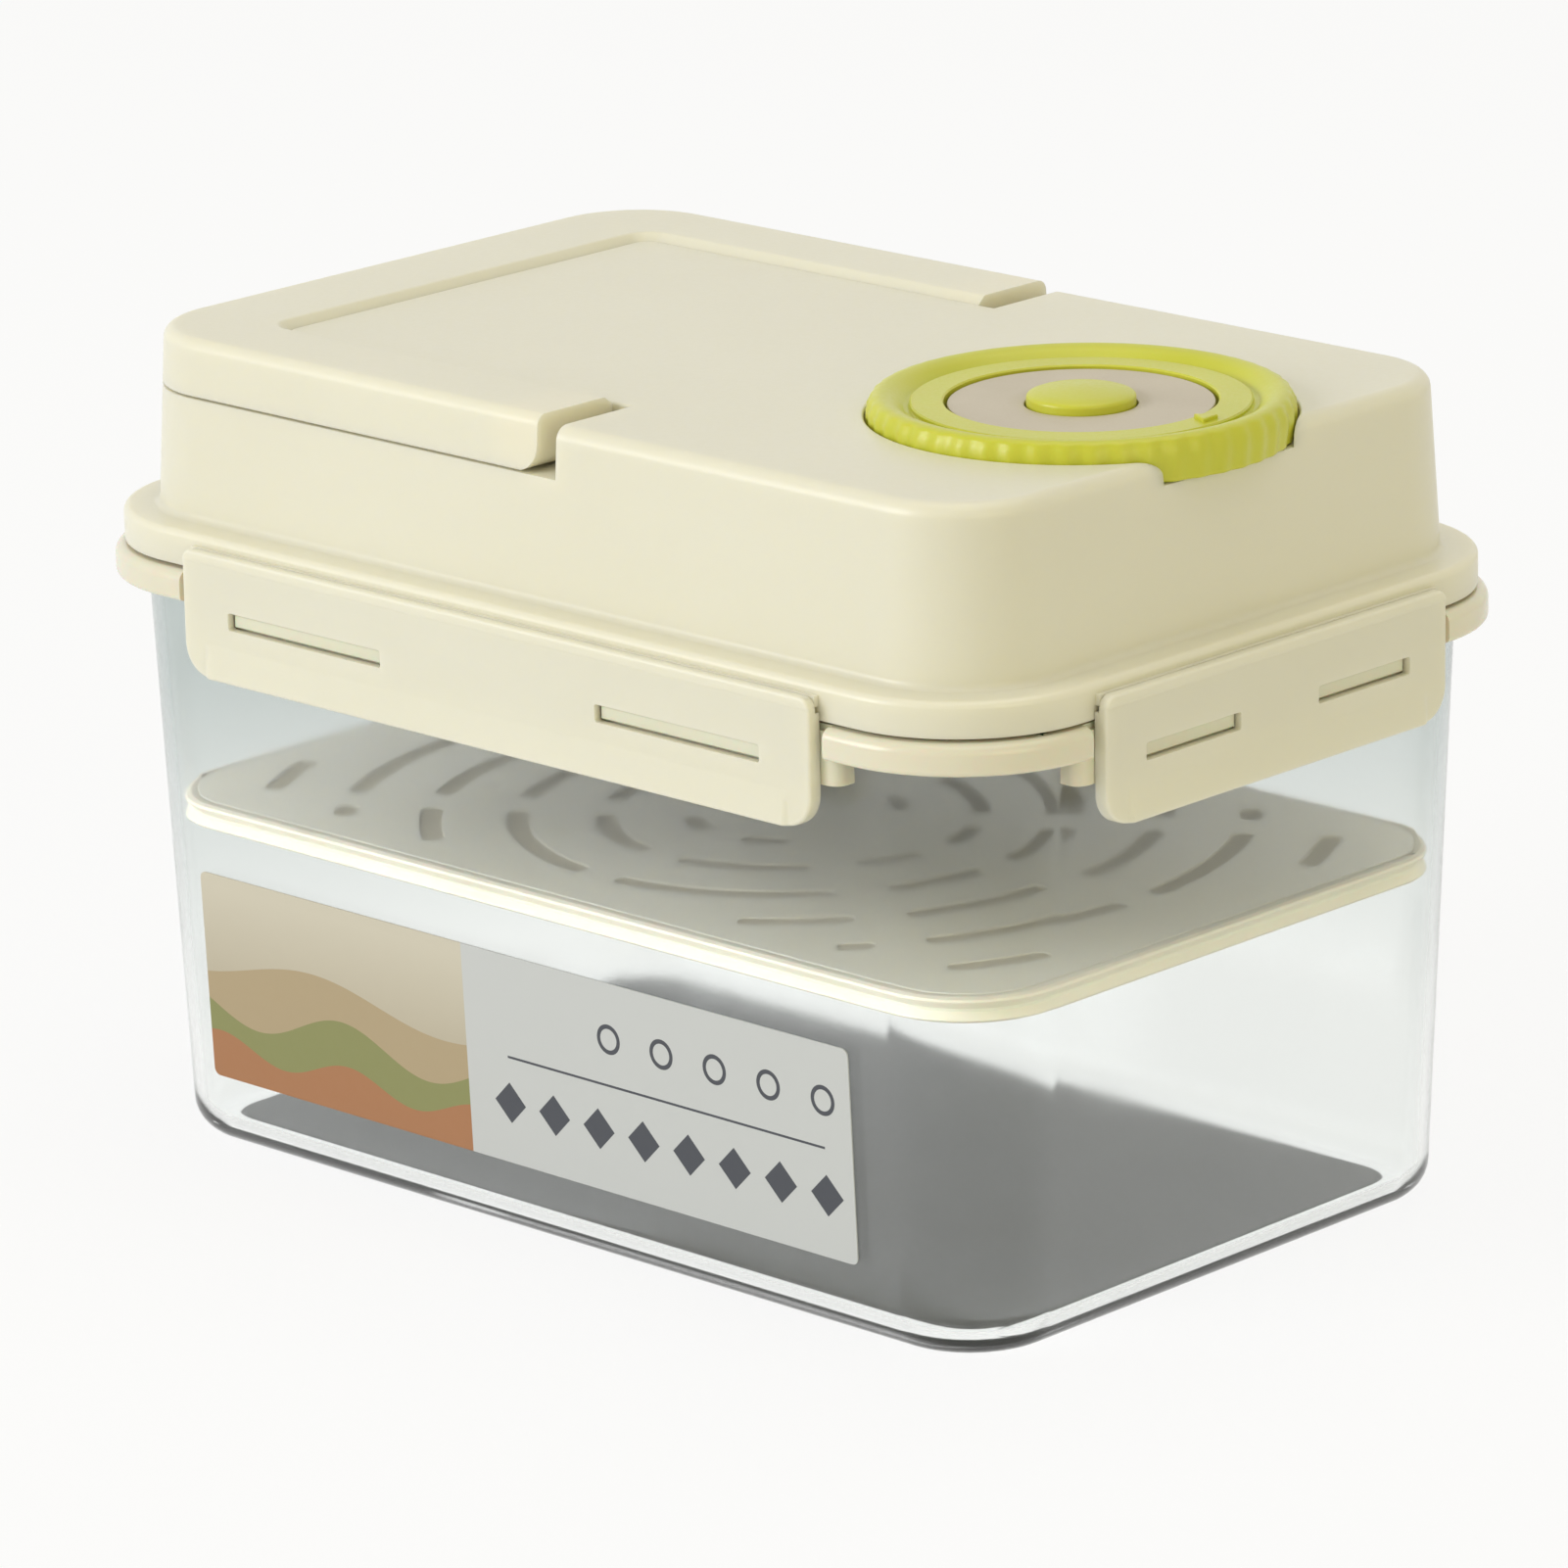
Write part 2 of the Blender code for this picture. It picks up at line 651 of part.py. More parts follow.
def handle_body(name, shell, z0, z1, x_end, finish_material=None):
    """The handle's U, flush with the dome outside and clear of the plateau inside."""
    edge = handle_edge_round if shell == 0 else 0
    levels = [(dome_inset(z0) + shell + (handle_foot_chamfer if shell == 0 else 0), z0)]
    if shell == 0:
        levels.append((dome_inset(z0) + shell, z0 + handle_foot_chamfer))
        levels += [(dome_inset(z1 - edge) + edge - a, z1 - edge + b)
                   for a, b in arc(0, 0, edge, 0, 90)]
    else:
        levels.append((dome_inset(z1) + shell, z1))
    body = wall_loft(name, levels, finish_material)
    gap = handle_side_clearance + shell
    heights = [(gap, z0 - overrun), (gap, z1 - handle_slope_drop),
               (gap + handle_slope_run, z1), (gap + handle_slope_run, z1 + overrun)]
    if shell:
        heights = [(gap, z0 - overrun), (gap, z1 + overrun)]
    rings = [[(x, y, z) for x, y in plateau_path(grow, half_length + overrun)]
             for grow, z in heights]
    combine(body, loft(name + "_middle", rings, None), "DIFFERENCE")
    x_far, y_far = half_length + overrun, half_width + overrun
    points = [(x_end, -y_far), (x_far, -y_far), (x_far, y_far), (x_end, y_far)]
    combine(body, prism(name + "_right", points, z0 - overrun, z1 + overrun), "DIFFERENCE")
    return body


def carry_handle():
    """The folding handle, hollow underneath, with a round heel and a peg on each arm."""
    heel = handle_thickness / 2
    handle = handle_body("carry_handle", 0, handle_bottom, handle_top,
                         handle_pivot_x + heel, cream_plastic)
    section = [(handle_pivot_x, handle_bottom - overrun),
               (handle_pivot_x + heel + overrun, handle_bottom - overrun),
               (handle_pivot_x + heel + overrun, handle_pivot_z)]
    section += arc(handle_pivot_x, handle_pivot_z, heel, 0, -90, 6)
    y_far = half_width + overrun
    rings = [[(x, y, z) for x, z in section] for y in (-y_far, y_far)]
    combine(handle, loft("handle_heel", rings, None), "DIFFERENCE")
    channel = handle_body("handle_channel", handle_shell, handle_bottom - overrun,
                          handle_top - handle_shell,
                          handle_pivot_x - handle_web_length)
    combine(handle, channel, "DIFFERENCE")
    for sign in (-1, 1):
        inner = plateau_half_width + handle_side_clearance - peg_length
        outer = plateau_half_width + handle_side_clearance + handle_shell
        peg = rod_along_y("handle_peg_%d" % (sign + 1), peg_radius, sign * inner, sign * outer)
        combine(handle, peg, "UNION")
    return set_origin(handle, (handle_pivot_x, 0, handle_pivot_z))


def dial_ring():
    """The turning ring: flat inner band with a pointer, groove, round crest and ribbed grip."""
    inner = hub_radius + dial_clearance
    band = inner + dial_band_width
    crest = dial_radius - dial_crest_inset
    shoulder = dial_radius - dial_shoulder_inset
    drop = dial_top - dial_shoulder_drop
    profile = [(inner, dial_bottom), (dial_radius - dial_draft, dial_bottom),
               (dial_radius, dial_bottom + dial_height / 2), (shoulder, drop),
               ((shoulder + crest) / 2, (drop + 2 * dial_top) / 3), (crest, dial_top),
               (crest - dial_groove_width, dial_top - dial_shoulder_drop / 2),
               (band + dial_groove_width, dial_top - dial_groove_drop),
               (band, dial_top - dial_groove_drop), (band, dial_top - dial_band_drop),
               (inner, dial_top - dial_band_drop)]
    ring = turned("dial_ring", profile, green_plastic, 2 * grip_ribs, grip_rib_depth, crest)
    tip = inner + pointer_setback
    base = tip + pointer_length
    points = [(tip, 0), (base, -pointer_width / 2), (base, pointer_width / 2)]
    low = dial_top - dial_band_drop - pointer_height
    pointer = prism("dial_pointer", points, low, dial_top - dial_band_drop + pointer_height)
    move_mesh(pointer, Matrix.Rotation(pointer_angle, 4, "Z"))
    at_dial(pointer)
    combine(at_dial(ring), pointer, "UNION")
    return set_origin(ring, (dial_x, 0, pocket_floor))


def date_disc():
    """The fixed scale disc on the hub, dished round the button."""
    bore = button_radius + button_clearance
    edge = hub_radius - disc_edge_inset
    profile = [(bore, disc_bottom), (edge, disc_bottom), (edge, disc_top - disc_edge_inset),
               (edge - disc_edge_inset, disc_top), (bore + disc_dish_width, disc_top),
               (bore, disc_top - disc_dish)]
    return at_dial(turned("date_disc", profile, grey_plastic, round_steps))


def vent_button():
    """The press button and its stem, hollow underneath for the spring."""
    skirt_in = button_radius - button_skirt
    skirt_low = well_floor_z + button_travel + button_clearance
    stem_low = retainer_bottom - stem_overhang
    edge_top = button_top - button_crown
    roof = edge_top - button_roof / 2
    profile = [(0, stem_low), (stem_radius, stem_low), (stem_radius, roof), (skirt_in, roof),
               (skirt_in, skirt_low), (button_radius, skirt_low),
               (button_radius, edge_top - button_edge_round)]
    profile += arc(button_radius - button_edge_round, edge_top - button_edge_round,
                   button_edge_round, 0, button_edge_sweep, 3)[1:]
    for share in button_crown_shares:
        profile.append((button_radius * share, button_top - button_crown * share * share))
    profile.append((0, button_top))
    button = at_dial(turned("vent_button", profile, green_plastic, small_steps))
    return set_origin(button, (dial_x, 0, disc_top))


def valve_seat():
    """The bush in the hub's floor that guides the stem and seats the spring."""
    bore = stem_radius + valve_fit
    flange_low = seat_top - seat_flange_height
    profile = [(bore, seat_bottom), (seat_radius, seat_bottom), (seat_radius, flange_low),
               (seat_flange_radius, flange_low), (seat_flange_radius, seat_top),
               (bore, seat_top)]
    return at_dial(turned("valve_seat", profile, white_plastic, small_steps))


def valve_seal():
    """The soft disc on the stem that closes the seat from below."""
    bore, low = stem_radius + valve_fit, seal_top - seal_thickness
    middle = seal_top - seal_thickness / 2
    profile = [(bore, low), (seal_radius - seal_thickness / 2, low), (seal_radius, middle),
               (seal_radius, seal_top), (bore, seal_top)]
    return at_dial(turned("valve_seal", profile, silicone, small_steps))


def stem_retainer():
    """The push-on washer that holds the seal on the stem."""
    return annulus("stem_retainer", stem_radius + valve_fit, retainer_radius,
                   retainer_bottom, retainer_top, retainer_steps, white_plastic)


def button_spring():
    """The coil under the button, as one wire."""
    low = seat_top + spring_wire_radius + valve_fit
    roof = button_top - button_crown - button_roof / 2
    high = roof - spring_wire_radius - valve_fit
    count = spring_turns * spring_points_per_turn + 1
    curve = bpy.data.curves.new("button_spring", "CURVE")
    curve.dimensions = "3D"
    curve.bevel_depth = spring_wire_radius
    curve.bevel_resolution = 1
    curve.use_fill_caps = True
    wire = curve.splines.new("POLY")
    wire.points.add(count - 1)
    for i in range(count):
        share = i / (count - 1)
        angle = 2 * math.pi * spring_turns * share
        wire.points[i].co = (dial_x + spring_radius * math.cos(angle),
                             spring_radius * math.sin(angle), low + (high - low) * share, 1)
    curve.materials.append(spring_steel)
    spring = bpy.data.objects.new("button_spring", curve)
    bpy.context.scene.collection.objects.link(spring)
    pitch = (high - low) / spring_turns
    print("button spring: gap between turns %.2f mm" % ((pitch - 2 * spring_wire_radius) / MM))
    return spring


def drain_slots():
    """Arc slots in rings, clipped to the plate, with ribs left on the axes and the diagonals."""
    plate_x = half_length - plate_inset() - drain_rim_margin
    plate_y = half_width - plate_inset() - drain_rim_margin
    diagonal = math.atan2(half_width, half_length)
    quarter = [0, diagonal, math.pi / 2]
    spokes = quarter + [math.pi - a for a in (diagonal, 0)]
    spokes += [math.pi + a for a in (diagonal, math.pi / 2)] + [2 * math.pi - diagonal, 2 * math.pi]
    slots = []
    for ring in range(drain_rings):
        radius = drain_first_radius + ring * drain_pitch
        for low, high in zip(spokes, spokes[1:]):
            margin = drain_spoke_width / 2 / radius
            start, end = low + margin, high - margin
            count = max(3, round((end - start) * radius / drain_step))
            angles = [start + (end - start) * i / count for i in range(count + 1)]
            angles = [a for a in angles if abs(radius * math.cos(a)) < plate_x
                      and abs(radius * math.sin(a)) < plate_y]
            if len(angles) > 1 and (angles[-1] - angles[0]) * radius > drain_shortest:
                slots.append((radius, angles))
    bm = bmesh.new()
    z0, z1 = plate_bottom - overrun, plate_top + overrun
    for radius, angles in slots:
        path = [(radius + drain_width / 2, a) for a in angles]
        path.append((radius, angles[-1] + drain_width / 2 / radius))
        path += [(radius - drain_width / 2, a) for a in reversed(angles)]
        path.append((radius, angles[0] - drain_width / 2 / radius))
        low = [bm.verts.new((r * math.cos(a), r * math.sin(a), z0)) for r, a in path]
        face = bm.faces.new(low)
        raised = bmesh.ops.extrude_face_region(bm, geom=[face])["geom"]
        lifted = [v for v in raised if isinstance(v, bmesh.types.BMVert)]
        bmesh.ops.translate(bm, vec=(0, 0, z1 - z0), verts=lifted)
    print("press plate: %d drain slots" % len(slots))
    return finish(bm, "drain_slots", None)


def wiper_inset():
    """The wiper's outermost reach, a clearance inside the box's inner wall at rest."""
    return wall_inset(plate_bottom) + box_wall + wiper_clearance


def plate_inset():
    """The rigid plate's edge, inside its wiper ring."""
    return wiper_inset() + wiper_width


def press_plate():
    """The rigid perforated plate, a shallow dish turned over, with a tongue round its edge."""
    edge = plate_inset()
    tongue = edge - wiper_tongue
    middle = (plate_bottom + plate_top) / 2
    half = wiper_tongue_height / 2
    profile = [(edge + plate_rim_wall, plate_top - plate_thickness),
               (edge + plate_rim_wall, plate_bottom), (edge, plate_bottom),
               (edge, middle - half), (tongue, middle - half / 2), (tongue, middle + half / 2),
               (edge, middle + half), (edge, plate_top - plate_edge_round),
               (edge + plate_edge_round, plate_top)]
    plate = wall_loft("press_plate", profile, cream_plastic)
    combine(plate, drain_slots(), "DIFFERENCE")
    return set_origin(plate, (0, 0, plate_bottom))


def plate_wiper():
    """The soft double-lip ring that wipes the wall as the plate goes down."""
    reach = wiper_inset()
    seat = plate_inset() - wiper_fit
    notch = reach + wiper_notch
    tongue = plate_inset() - wiper_tongue - wiper_fit
    middle = (plate_bottom + plate_top) / 2
    half = wiper_tongue_height / 2 + wiper_fit
    low, high = plate_bottom + wiper_fit, plate_top - plate_edge_round / 2
    profile = [(seat, low), (notch, low), (reach, low + wiper_lip_height / 2),
               (reach, low + wiper_lip_height), (notch, middle - wiper_fit),
               (notch, middle + wiper_fit), (reach, high - wiper_lip_height),
               (reach, high - wiper_lip_height / 2), (notch, high), (seat, high),
               (seat, middle + half), (tongue, middle + half / 2), (tongue, middle - half / 2),
               (seat, middle - half)]
    ring = wall_loft("plate_wiper", profile, cream_silicone, closed=True)
    return set_origin(ring, (0, 0, plate_bottom))


def front_label():
    """A thin plain label lying on the front wall's slope."""
    x0, x1 = label_centre_x - label_length / 2, label_centre_x + label_length / 2
    face = rounded_rectangle(x0, x1, label_bottom, label_bottom + label_height,
                             label_corner_radius, 3)
    rings = [[(x, wall_inset(z) - half_width - label_gap - depth, z) for x, z in face]
             for depth in (0, label_thickness)]
    return loft("front_label", rings, label_film)


for stale in list(bpy.data.objects):
    bpy.data.objects.remove(stale)

clear_plastic = material("clear_plastic", (0.86, 0.88, 0.88), 0.12, 0.9)
cream_plastic = material("cream_plastic", (0.82, 0.78, 0.66), 0.35)
green_plastic = material("green_plastic", (0.55, 0.60, 0.06), 0.30)
grey_plastic = material("grey_plastic", (0.56, 0.50, 0.42), 0.45)
white_plastic = material("white_plastic", (0.85, 0.85, 0.82), 0.40)
silicone = material("silicone", (0.86, 0.87, 0.86), 0.55)
cream_silicone = material("cream_silicone", (0.80, 0.76, 0.66), 0.50)
spring_steel = material("spring_steel", (0.60, 0.60, 0.60), 0.30)
spring_steel.node_tree.nodes["Principled BSDF"].inputs["Metallic"].default_value = 1
label_film = material("label_film", (0.72, 0.68, 0.60), 0.50)

container_box()
front_label()
press_plate()
plate_wiper()
lid_shell()
lid_gasket()
for latch_place in latches:
    latch(*latch_place)
carry_handle()
dial_ring()
date_disc()
vent_button()
button_spring()
valve_seat()
valve_seal()
stem_retainer()
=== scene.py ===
import math

import bmesh
import bpy
from mathutils import Matrix, Vector


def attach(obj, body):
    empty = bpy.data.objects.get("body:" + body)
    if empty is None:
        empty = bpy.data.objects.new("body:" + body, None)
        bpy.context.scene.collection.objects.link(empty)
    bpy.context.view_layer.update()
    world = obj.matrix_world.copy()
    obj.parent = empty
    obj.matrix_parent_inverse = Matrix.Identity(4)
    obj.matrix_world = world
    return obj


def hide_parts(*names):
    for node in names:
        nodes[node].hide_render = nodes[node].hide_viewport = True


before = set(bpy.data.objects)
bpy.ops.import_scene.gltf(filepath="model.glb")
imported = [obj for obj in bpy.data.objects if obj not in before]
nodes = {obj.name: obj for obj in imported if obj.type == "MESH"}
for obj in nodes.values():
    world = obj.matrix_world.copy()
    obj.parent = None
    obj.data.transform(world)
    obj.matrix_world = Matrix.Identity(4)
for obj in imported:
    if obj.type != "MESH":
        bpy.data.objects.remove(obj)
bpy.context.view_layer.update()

mm = 0.001


# camera

cameraSettings = {
    "azimuth": 43.742,          # degrees round from the front
    "elevation": 16.5,
    "distance": 1.70814,
    "target": (0, 0, 0.078075),
    "roll": -0.02,              # radians
    "lens": 199.26,
    "shiftX": -0.00744,
    "shiftY": -0.00309,
    "sensor": 36,               # its width, in millimetres like the lens
    "nearest": 0.05,
    "furthest": 50,
}


def placeCamera(settings):
    az, el = math.radians(settings["azimuth"]), math.radians(settings["elevation"])
    towards = Vector((math.sin(az) * math.cos(el), -math.cos(az) * math.cos(el), math.sin(el)))
    right = Vector((math.cos(az), math.sin(az), 0))
    up = towards.cross(right)
    roll = settings["roll"]
    tiltedRight = math.cos(roll) * right + math.sin(roll) * up
    tiltedUp = math.cos(roll) * up - math.sin(roll) * right
    data = bpy.data.cameras.new("camera")
    data.lens = settings["lens"]
    data.sensor_width = settings["sensor"]
    data.shift_x = settings["shiftX"]
    data.shift_y = settings["shiftY"]
    data.clip_start = settings["nearest"]
    data.clip_end = settings["furthest"]
    camera = bpy.data.objects.new("camera", data)
    place = Matrix((tiltedRight, tiltedUp, towards)).transposed().to_4x4()
    place.translation = Vector(settings["target"]) + towards * settings["distance"]
    camera.matrix_world = place
    bpy.context.scene.collection.objects.link(camera)
    bpy.context.scene.camera = camera


# materials

def newMaterial(name, colour, roughness, **sockets):
    made = bpy.data.materials.new(name)
    made.use_nodes = True
    shader = made.node_tree.nodes["Principled BSDF"]
    shader.inputs["Base Color"].default_value = (*colour, 1)
    shader.inputs["Roughness"].default_value = roughness
    for socket, value in sockets.items():
        shader.inputs[socket].default_value = value
    return made, made.node_tree, shader


def objectCoordinates(tree, scale=(1, 1, 1)):
    place = tree.nodes.new("ShaderNodeTexCoord")
    mapping = tree.nodes.new("ShaderNodeMapping")
    mapping.inputs["Scale"].default_value = scale
    tree.links.new(place.outputs["Object"], mapping.inputs["Vector"])
    return mapping.outputs["Vector"]


def noise(tree, vector, scale, detail=2.0, roughness=0.5):
    made = tree.nodes.new("ShaderNodeTexNoise")
    made.inputs["Scale"].default_value = scale
    made.inputs["Detail"].default_value = detail
    made.inputs["Roughness"].default_value = roughness
    tree.links.new(vector, made.inputs["Vector"])
    return made.outputs["Fac"]


def spread(tree, value, low, high, fromLow=0.3, fromHigh=0.7):
    made = tree.nodes.new("ShaderNodeMapRange")
    for socket, number in (("From Min", fromLow), ("From Max", fromHigh), ("To Min", low), ("To Max", high)):
        made.inputs[socket].default_value = number
    tree.links.new(value, made.inputs["Value"])
    return made.outputs["Result"]


def blendColours(tree, share, colourA, colourB):
    made = tree.nodes.new("ShaderNodeMix")
    made.data_type = "RGBA"
    for socket, value in ((made.inputs[0], share), (made.inputs[6], colourA), (made.inputs[7], colourB)):
        if isinstance(value, bpy.types.NodeSocket):
            tree.links.new(value, socket)
        elif isinstance(value, tuple):
            socket.default_value = (*value, 1)
        else:
            socket.default_value = value
    return made.outputs[2]


def bump(tree, shader, height, distance):
    made = tree.nodes.new("ShaderNodeBump")
    made.inputs["Strength"].default_value = 1
    made.inputs["Distance"].default_value = distance
    tree.links.new(height, made.inputs["Height"])
    tree.links.new(made.outputs["Normal"], shader.inputs["Normal"])


def mouldedPlastic(settings):
    # satin moulded plastic: slow tone drift, fine grain in the gloss and on the surface
    made, tree, shader = newMaterial(settings["name"], settings["colour"], settings["roughness"],
                                     **settings.get("sockets", {}))
    place = objectCoordinates(tree)
    drift = spread(tree, noise(tree, place, settings["driftScale"], 2), 0, 1)
    colour = blendColours(tree, drift, settings["colour"], settings["colourB"])
    tree.links.new(colour, shader.inputs["Base Color"])
    grain = noise(tree, place, settings["grainScale"], 3, 0.6)
    low, high = settings["roughness"] - settings["roughSpan"], settings["roughness"] + settings["roughSpan"]
    tree.links.new(spread(tree, grain, low, high), shader.inputs["Roughness"])
    bump(tree, shader, grain, settings["grainDepth"])
    return made


usualFinish = {"roughSpan": 0.05, "grainDepth": 0.00002}
finishes = {
    "cream": {"name": "creamPlastic", "colour": (0.80, 0.768, 0.625), "colourB": (0.82, 0.79, 0.65),
              "roughness": 0.33, "driftScale": 14, "grainScale": 900,
              "sockets": {"IOR": 1.49, "Subsurface Weight": 0.6, "Subsurface Scale": 0.005,
                          "Subsurface Radius": (1.0, 0.92, 0.7)}},
    "rim": {"name": "milkyRim", "colour": (0.75, 0.725, 0.585), "colourB": (0.78, 0.755, 0.62),
            "roughness": 0.22, "roughSpan": 0.04, "driftScale": 20, "grainScale": 700,
            "sockets": {"IOR": 1.49, "Subsurface Weight": 0.35, "Subsurface Scale": 0.004}},
    "green": {"name": "greenPlastic", "colour": (0.56, 0.575, 0.035), "colourB": (0.61, 0.62, 0.05),
              "roughness": 0.34, "driftScale": 40, "grainScale": 1200,
              "sockets": {"IOR": 1.49, "Subsurface Weight": 0.1, "Subsurface Scale": 0.002}},
    "grey": {"name": "greyPlastic", "colour": (0.56, 0.50, 0.41), "colourB": (0.60, 0.54, 0.45),
             "roughness": 0.5, "roughSpan": 0.06, "driftScale": 60, "grainScale": 1600,
             "grainDepth": 0.00003},
    "white": {"name": "whitePlastic", "colour": (0.80, 0.80, 0.77), "colourB": (0.84, 0.84, 0.81),
              "roughness": 0.42, "driftScale": 60, "grainScale": 1400},
    "silicone": {"name": "siliconeRubber", "colour": (0.78, 0.79, 0.78), "colourB": (0.83, 0.84, 0.83),
                 "roughness": 0.55, "driftScale": 30, "grainScale": 700, "grainDepth": 0.00003,
                 "sockets": {"Subsurface Weight": 0.2, "Subsurface Scale": 0.002}},
    "creamSilicone": {"name": "creamSilicone", "colour": (0.76, 0.72, 0.58), "colourB": (0.80, 0.76, 0.63),
                      "roughness": 0.48, "driftScale": 30, "grainScale": 700, "grainDepth": 0.00003,
                      "sockets": {"Subsurface Weight": 0.2, "Subsurface Scale": 0.002}},
}


clearFinish = {
    "colour": (0.965, 0.98, 0.975), "roughness": 0.10, "sockets": {"Transmission Weight": 0.985, "IOR": 1.34},
    "flowStretch": (1, 1, 0.5), "flow": (22, 3, 0.55), "gloss": (0.05, 0.12), "flowDepth": 0.0001,
}
steelFinish = {
    "colour": (0.62, 0.62, 0.61), "roughness": 0.28, "drawnStretch": (1, 1, 6), "drawn": (900, 2),
    "gloss": (0.2, 0.38), "drawnDepth": 0.00001,
}


def clearPlastic(settings):
    made, tree, shader = newMaterial("clearPlastic", settings["colour"], settings["roughness"],
                                     **settings["sockets"])
    # slow flow marks of the moulding
    flow = noise(tree, objectCoordinates(tree, settings["flowStretch"]), *settings["flow"])
    tree.links.new(spread(tree, flow, *settings["gloss"]), shader.inputs["Roughness"])
    bump(tree, shader, flow, settings["flowDepth"])
    # the lamps' light goes through the wall to what is inside
    path = tree.nodes.new("ShaderNodeLightPath")
    through = tree.nodes.new("ShaderNodeBsdfTransparent")
    through.inputs["Color"].default_value = (1, 1, 1, 1)
    mix = tree.nodes.new("ShaderNodeMixShader")
    tree.links.new(path.outputs["Is Shadow Ray"], mix.inputs[0])
    tree.links.new(shader.outputs[0], mix.inputs[1])
    tree.links.new(through.outputs[0], mix.inputs[2])
    tree.links.new(mix.outputs[0], tree.nodes["Material Output"].inputs["Surface"])
    return made


def springSteel(settings):
    made, tree, shader = newMaterial("springSteel", settings["colour"], settings["roughness"], Metallic=1)
    drawn = noise(tree, objectCoordinates(tree, settings["drawnStretch"]), *settings["drawn"])
    tree.links.new(spread(tree, drawn, *settings["gloss"]), shader.inputs["Roughness"])
    bump(tree, shader, drawn, settings["drawnDepth"])
    return made


materials = {key: mouldedPlastic({**usualFinish, **settings}) for key, settings in finishes.items()}
materials["clear"] = clearPlastic(clearFinish)
materials["steel"] = springSteel(steelFinish)
print("materials made:", len(materials))


# shaping tools

def inMetres(size):
    return tuple(inMetres(part) for part in size) if isinstance(size, tuple) else size * mm


def millimetres(sizes, **others):
    # lengths typed in millimetres, and counts, angles and shares as they are
    return {**{key: inMetres(size) for key, size in sizes.items()}, **others}


plan = millimetres({"halfLength": 122, "halfWidth": 81, "corner": 29.5}, steps=20)
spare = 4 * mm          # how far a cutting shape runs past what it cuts
breakEdge = 0.3 * mm    # the small chamfer on a moulded edge
slack = 1e-6            # metres: points closer than this are one
touching = 1e-7         # metres: what lies this close to a level is on it
sameAngle = 1e-4        # radians
sharpFrom = 32          # degrees: edges that turn more than this stay sharp


def roundOff(bm, parts, radius, steps, kind="VERTICES"):
    bmesh.ops.bevel(bm, geom=parts, offset=radius, segments=steps, profile=0.5, affect=kind, material=-1)


def planFace(bm, halfX, halfY, radius, z, steps, centre=(0, 0)):
    # one rounded rectangle, as a single face
    old = set(bm.faces)
    corners = bmesh.ops.create_grid(bm, x_segments=1, y_segments=1, size=1)["verts"]
    bmesh.ops.scale(bm, vec=(halfX, halfY, 1), verts=corners)
    bmesh.ops.translate(bm, vec=(centre[0], centre[1], z), verts=corners)
    if radius > 0:
        roundOff(bm, corners, radius, steps)
    return [face for face in bm.faces if face not in old][0]


def wallFace(bm, inset, z):
    # the lid flange's plan, drawn in by an even offset
    return planFace(bm, plan["halfLength"] - inset, plan["halfWidth"] - inset,
                    plan["corner"] - inset, z, plan["steps"])


def bridgeFaces(bm, faces, closed=False):
    loops = [list(face.edges) for face in faces]
    inner = faces if closed else faces[1:-1]
    bmesh.ops.delete(bm, geom=inner, context="FACES_ONLY")
    for low, high in zip(loops, loops[1:] + (loops[:1] if closed else [])):
        bmesh.ops.bridge_loops(bm, edges=low + high)
    bmesh.ops.recalc_face_normals(bm, faces=bm.faces)
    return bm


def wallBody(levels, closed=False):
    # a body that follows the flange's plan through (inset, z) levels
    bm = bmesh.new()
    return bridgeFaces(bm, [wallFace(bm, inset, z) for inset, z in levels], closed)


def spunBody(profile, steps, closed=True):
    bm = bmesh.new()
    verts = [bm.verts.new((radius, 0, z)) for radius, z in profile]
    pairs = list(zip(verts, verts[1:] + (verts[:1] if closed else [])))
    edges = [bm.edges.new(pair) for pair in pairs]
    bmesh.ops.spin(bm, geom=verts + edges, cent=(0, 0, 0), axis=(0, 0, 1), angle=2 * math.pi,
                   steps=steps, use_merge=True, dvec=(0, 0, 0))
    bmesh.ops.remove_doubles(bm, verts=bm.verts, dist=slack)
    bmesh.ops.recalc_face_normals(bm, faces=bm.faces)
    return bm


def raisedFace(bm, face, height):
    raised = bmesh.ops.extrude_face_region(bm, geom=[face])["geom"]
    top = [part for part in raised if isinstance(part, bmesh.types.BMVert)]
    bmesh.ops.translate(bm, vec=(0, 0, height), verts=top)
    bmesh.ops.recalc_face_normals(bm, faces=bm.faces)
    return top


def blockBody(x0, x1, y0, y1, z0, z1):
    bm = bmesh.new()
    face = planFace(bm, abs(x1 - x0) / 2, abs(y1 - y0) / 2, 0, min(z0, z1), 1,
                    ((x0 + x1) / 2, (y0 + y1) / 2))
    raisedFace(bm, face, abs(z1 - z0))
    return bm


def softenEdges(bm, width, segments=3, fromAngle=30):
    sharp = [edge for edge in bm.edges
             if len(edge.link_faces) == 2 and edge.calc_face_angle(0) > math.radians(fromAngle)]
    bmesh.ops.bevel(bm, geom=sharp, offset=width, segments=segments, profile=0.5,
                    affect="EDGES", material=-1, clamp_overlap=True)


def asObject(bm, name, place=None):
    if place:
        bmesh.ops.transform(bm, matrix=place, verts=bm.verts)
    mesh = bpy.data.meshes.new(name)
    bm.to_mesh(mesh)
    bm.free()
    made = bpy.data.objects.new(name, mesh)
    bpy.context.scene.collection.objects.link(made)
    return made


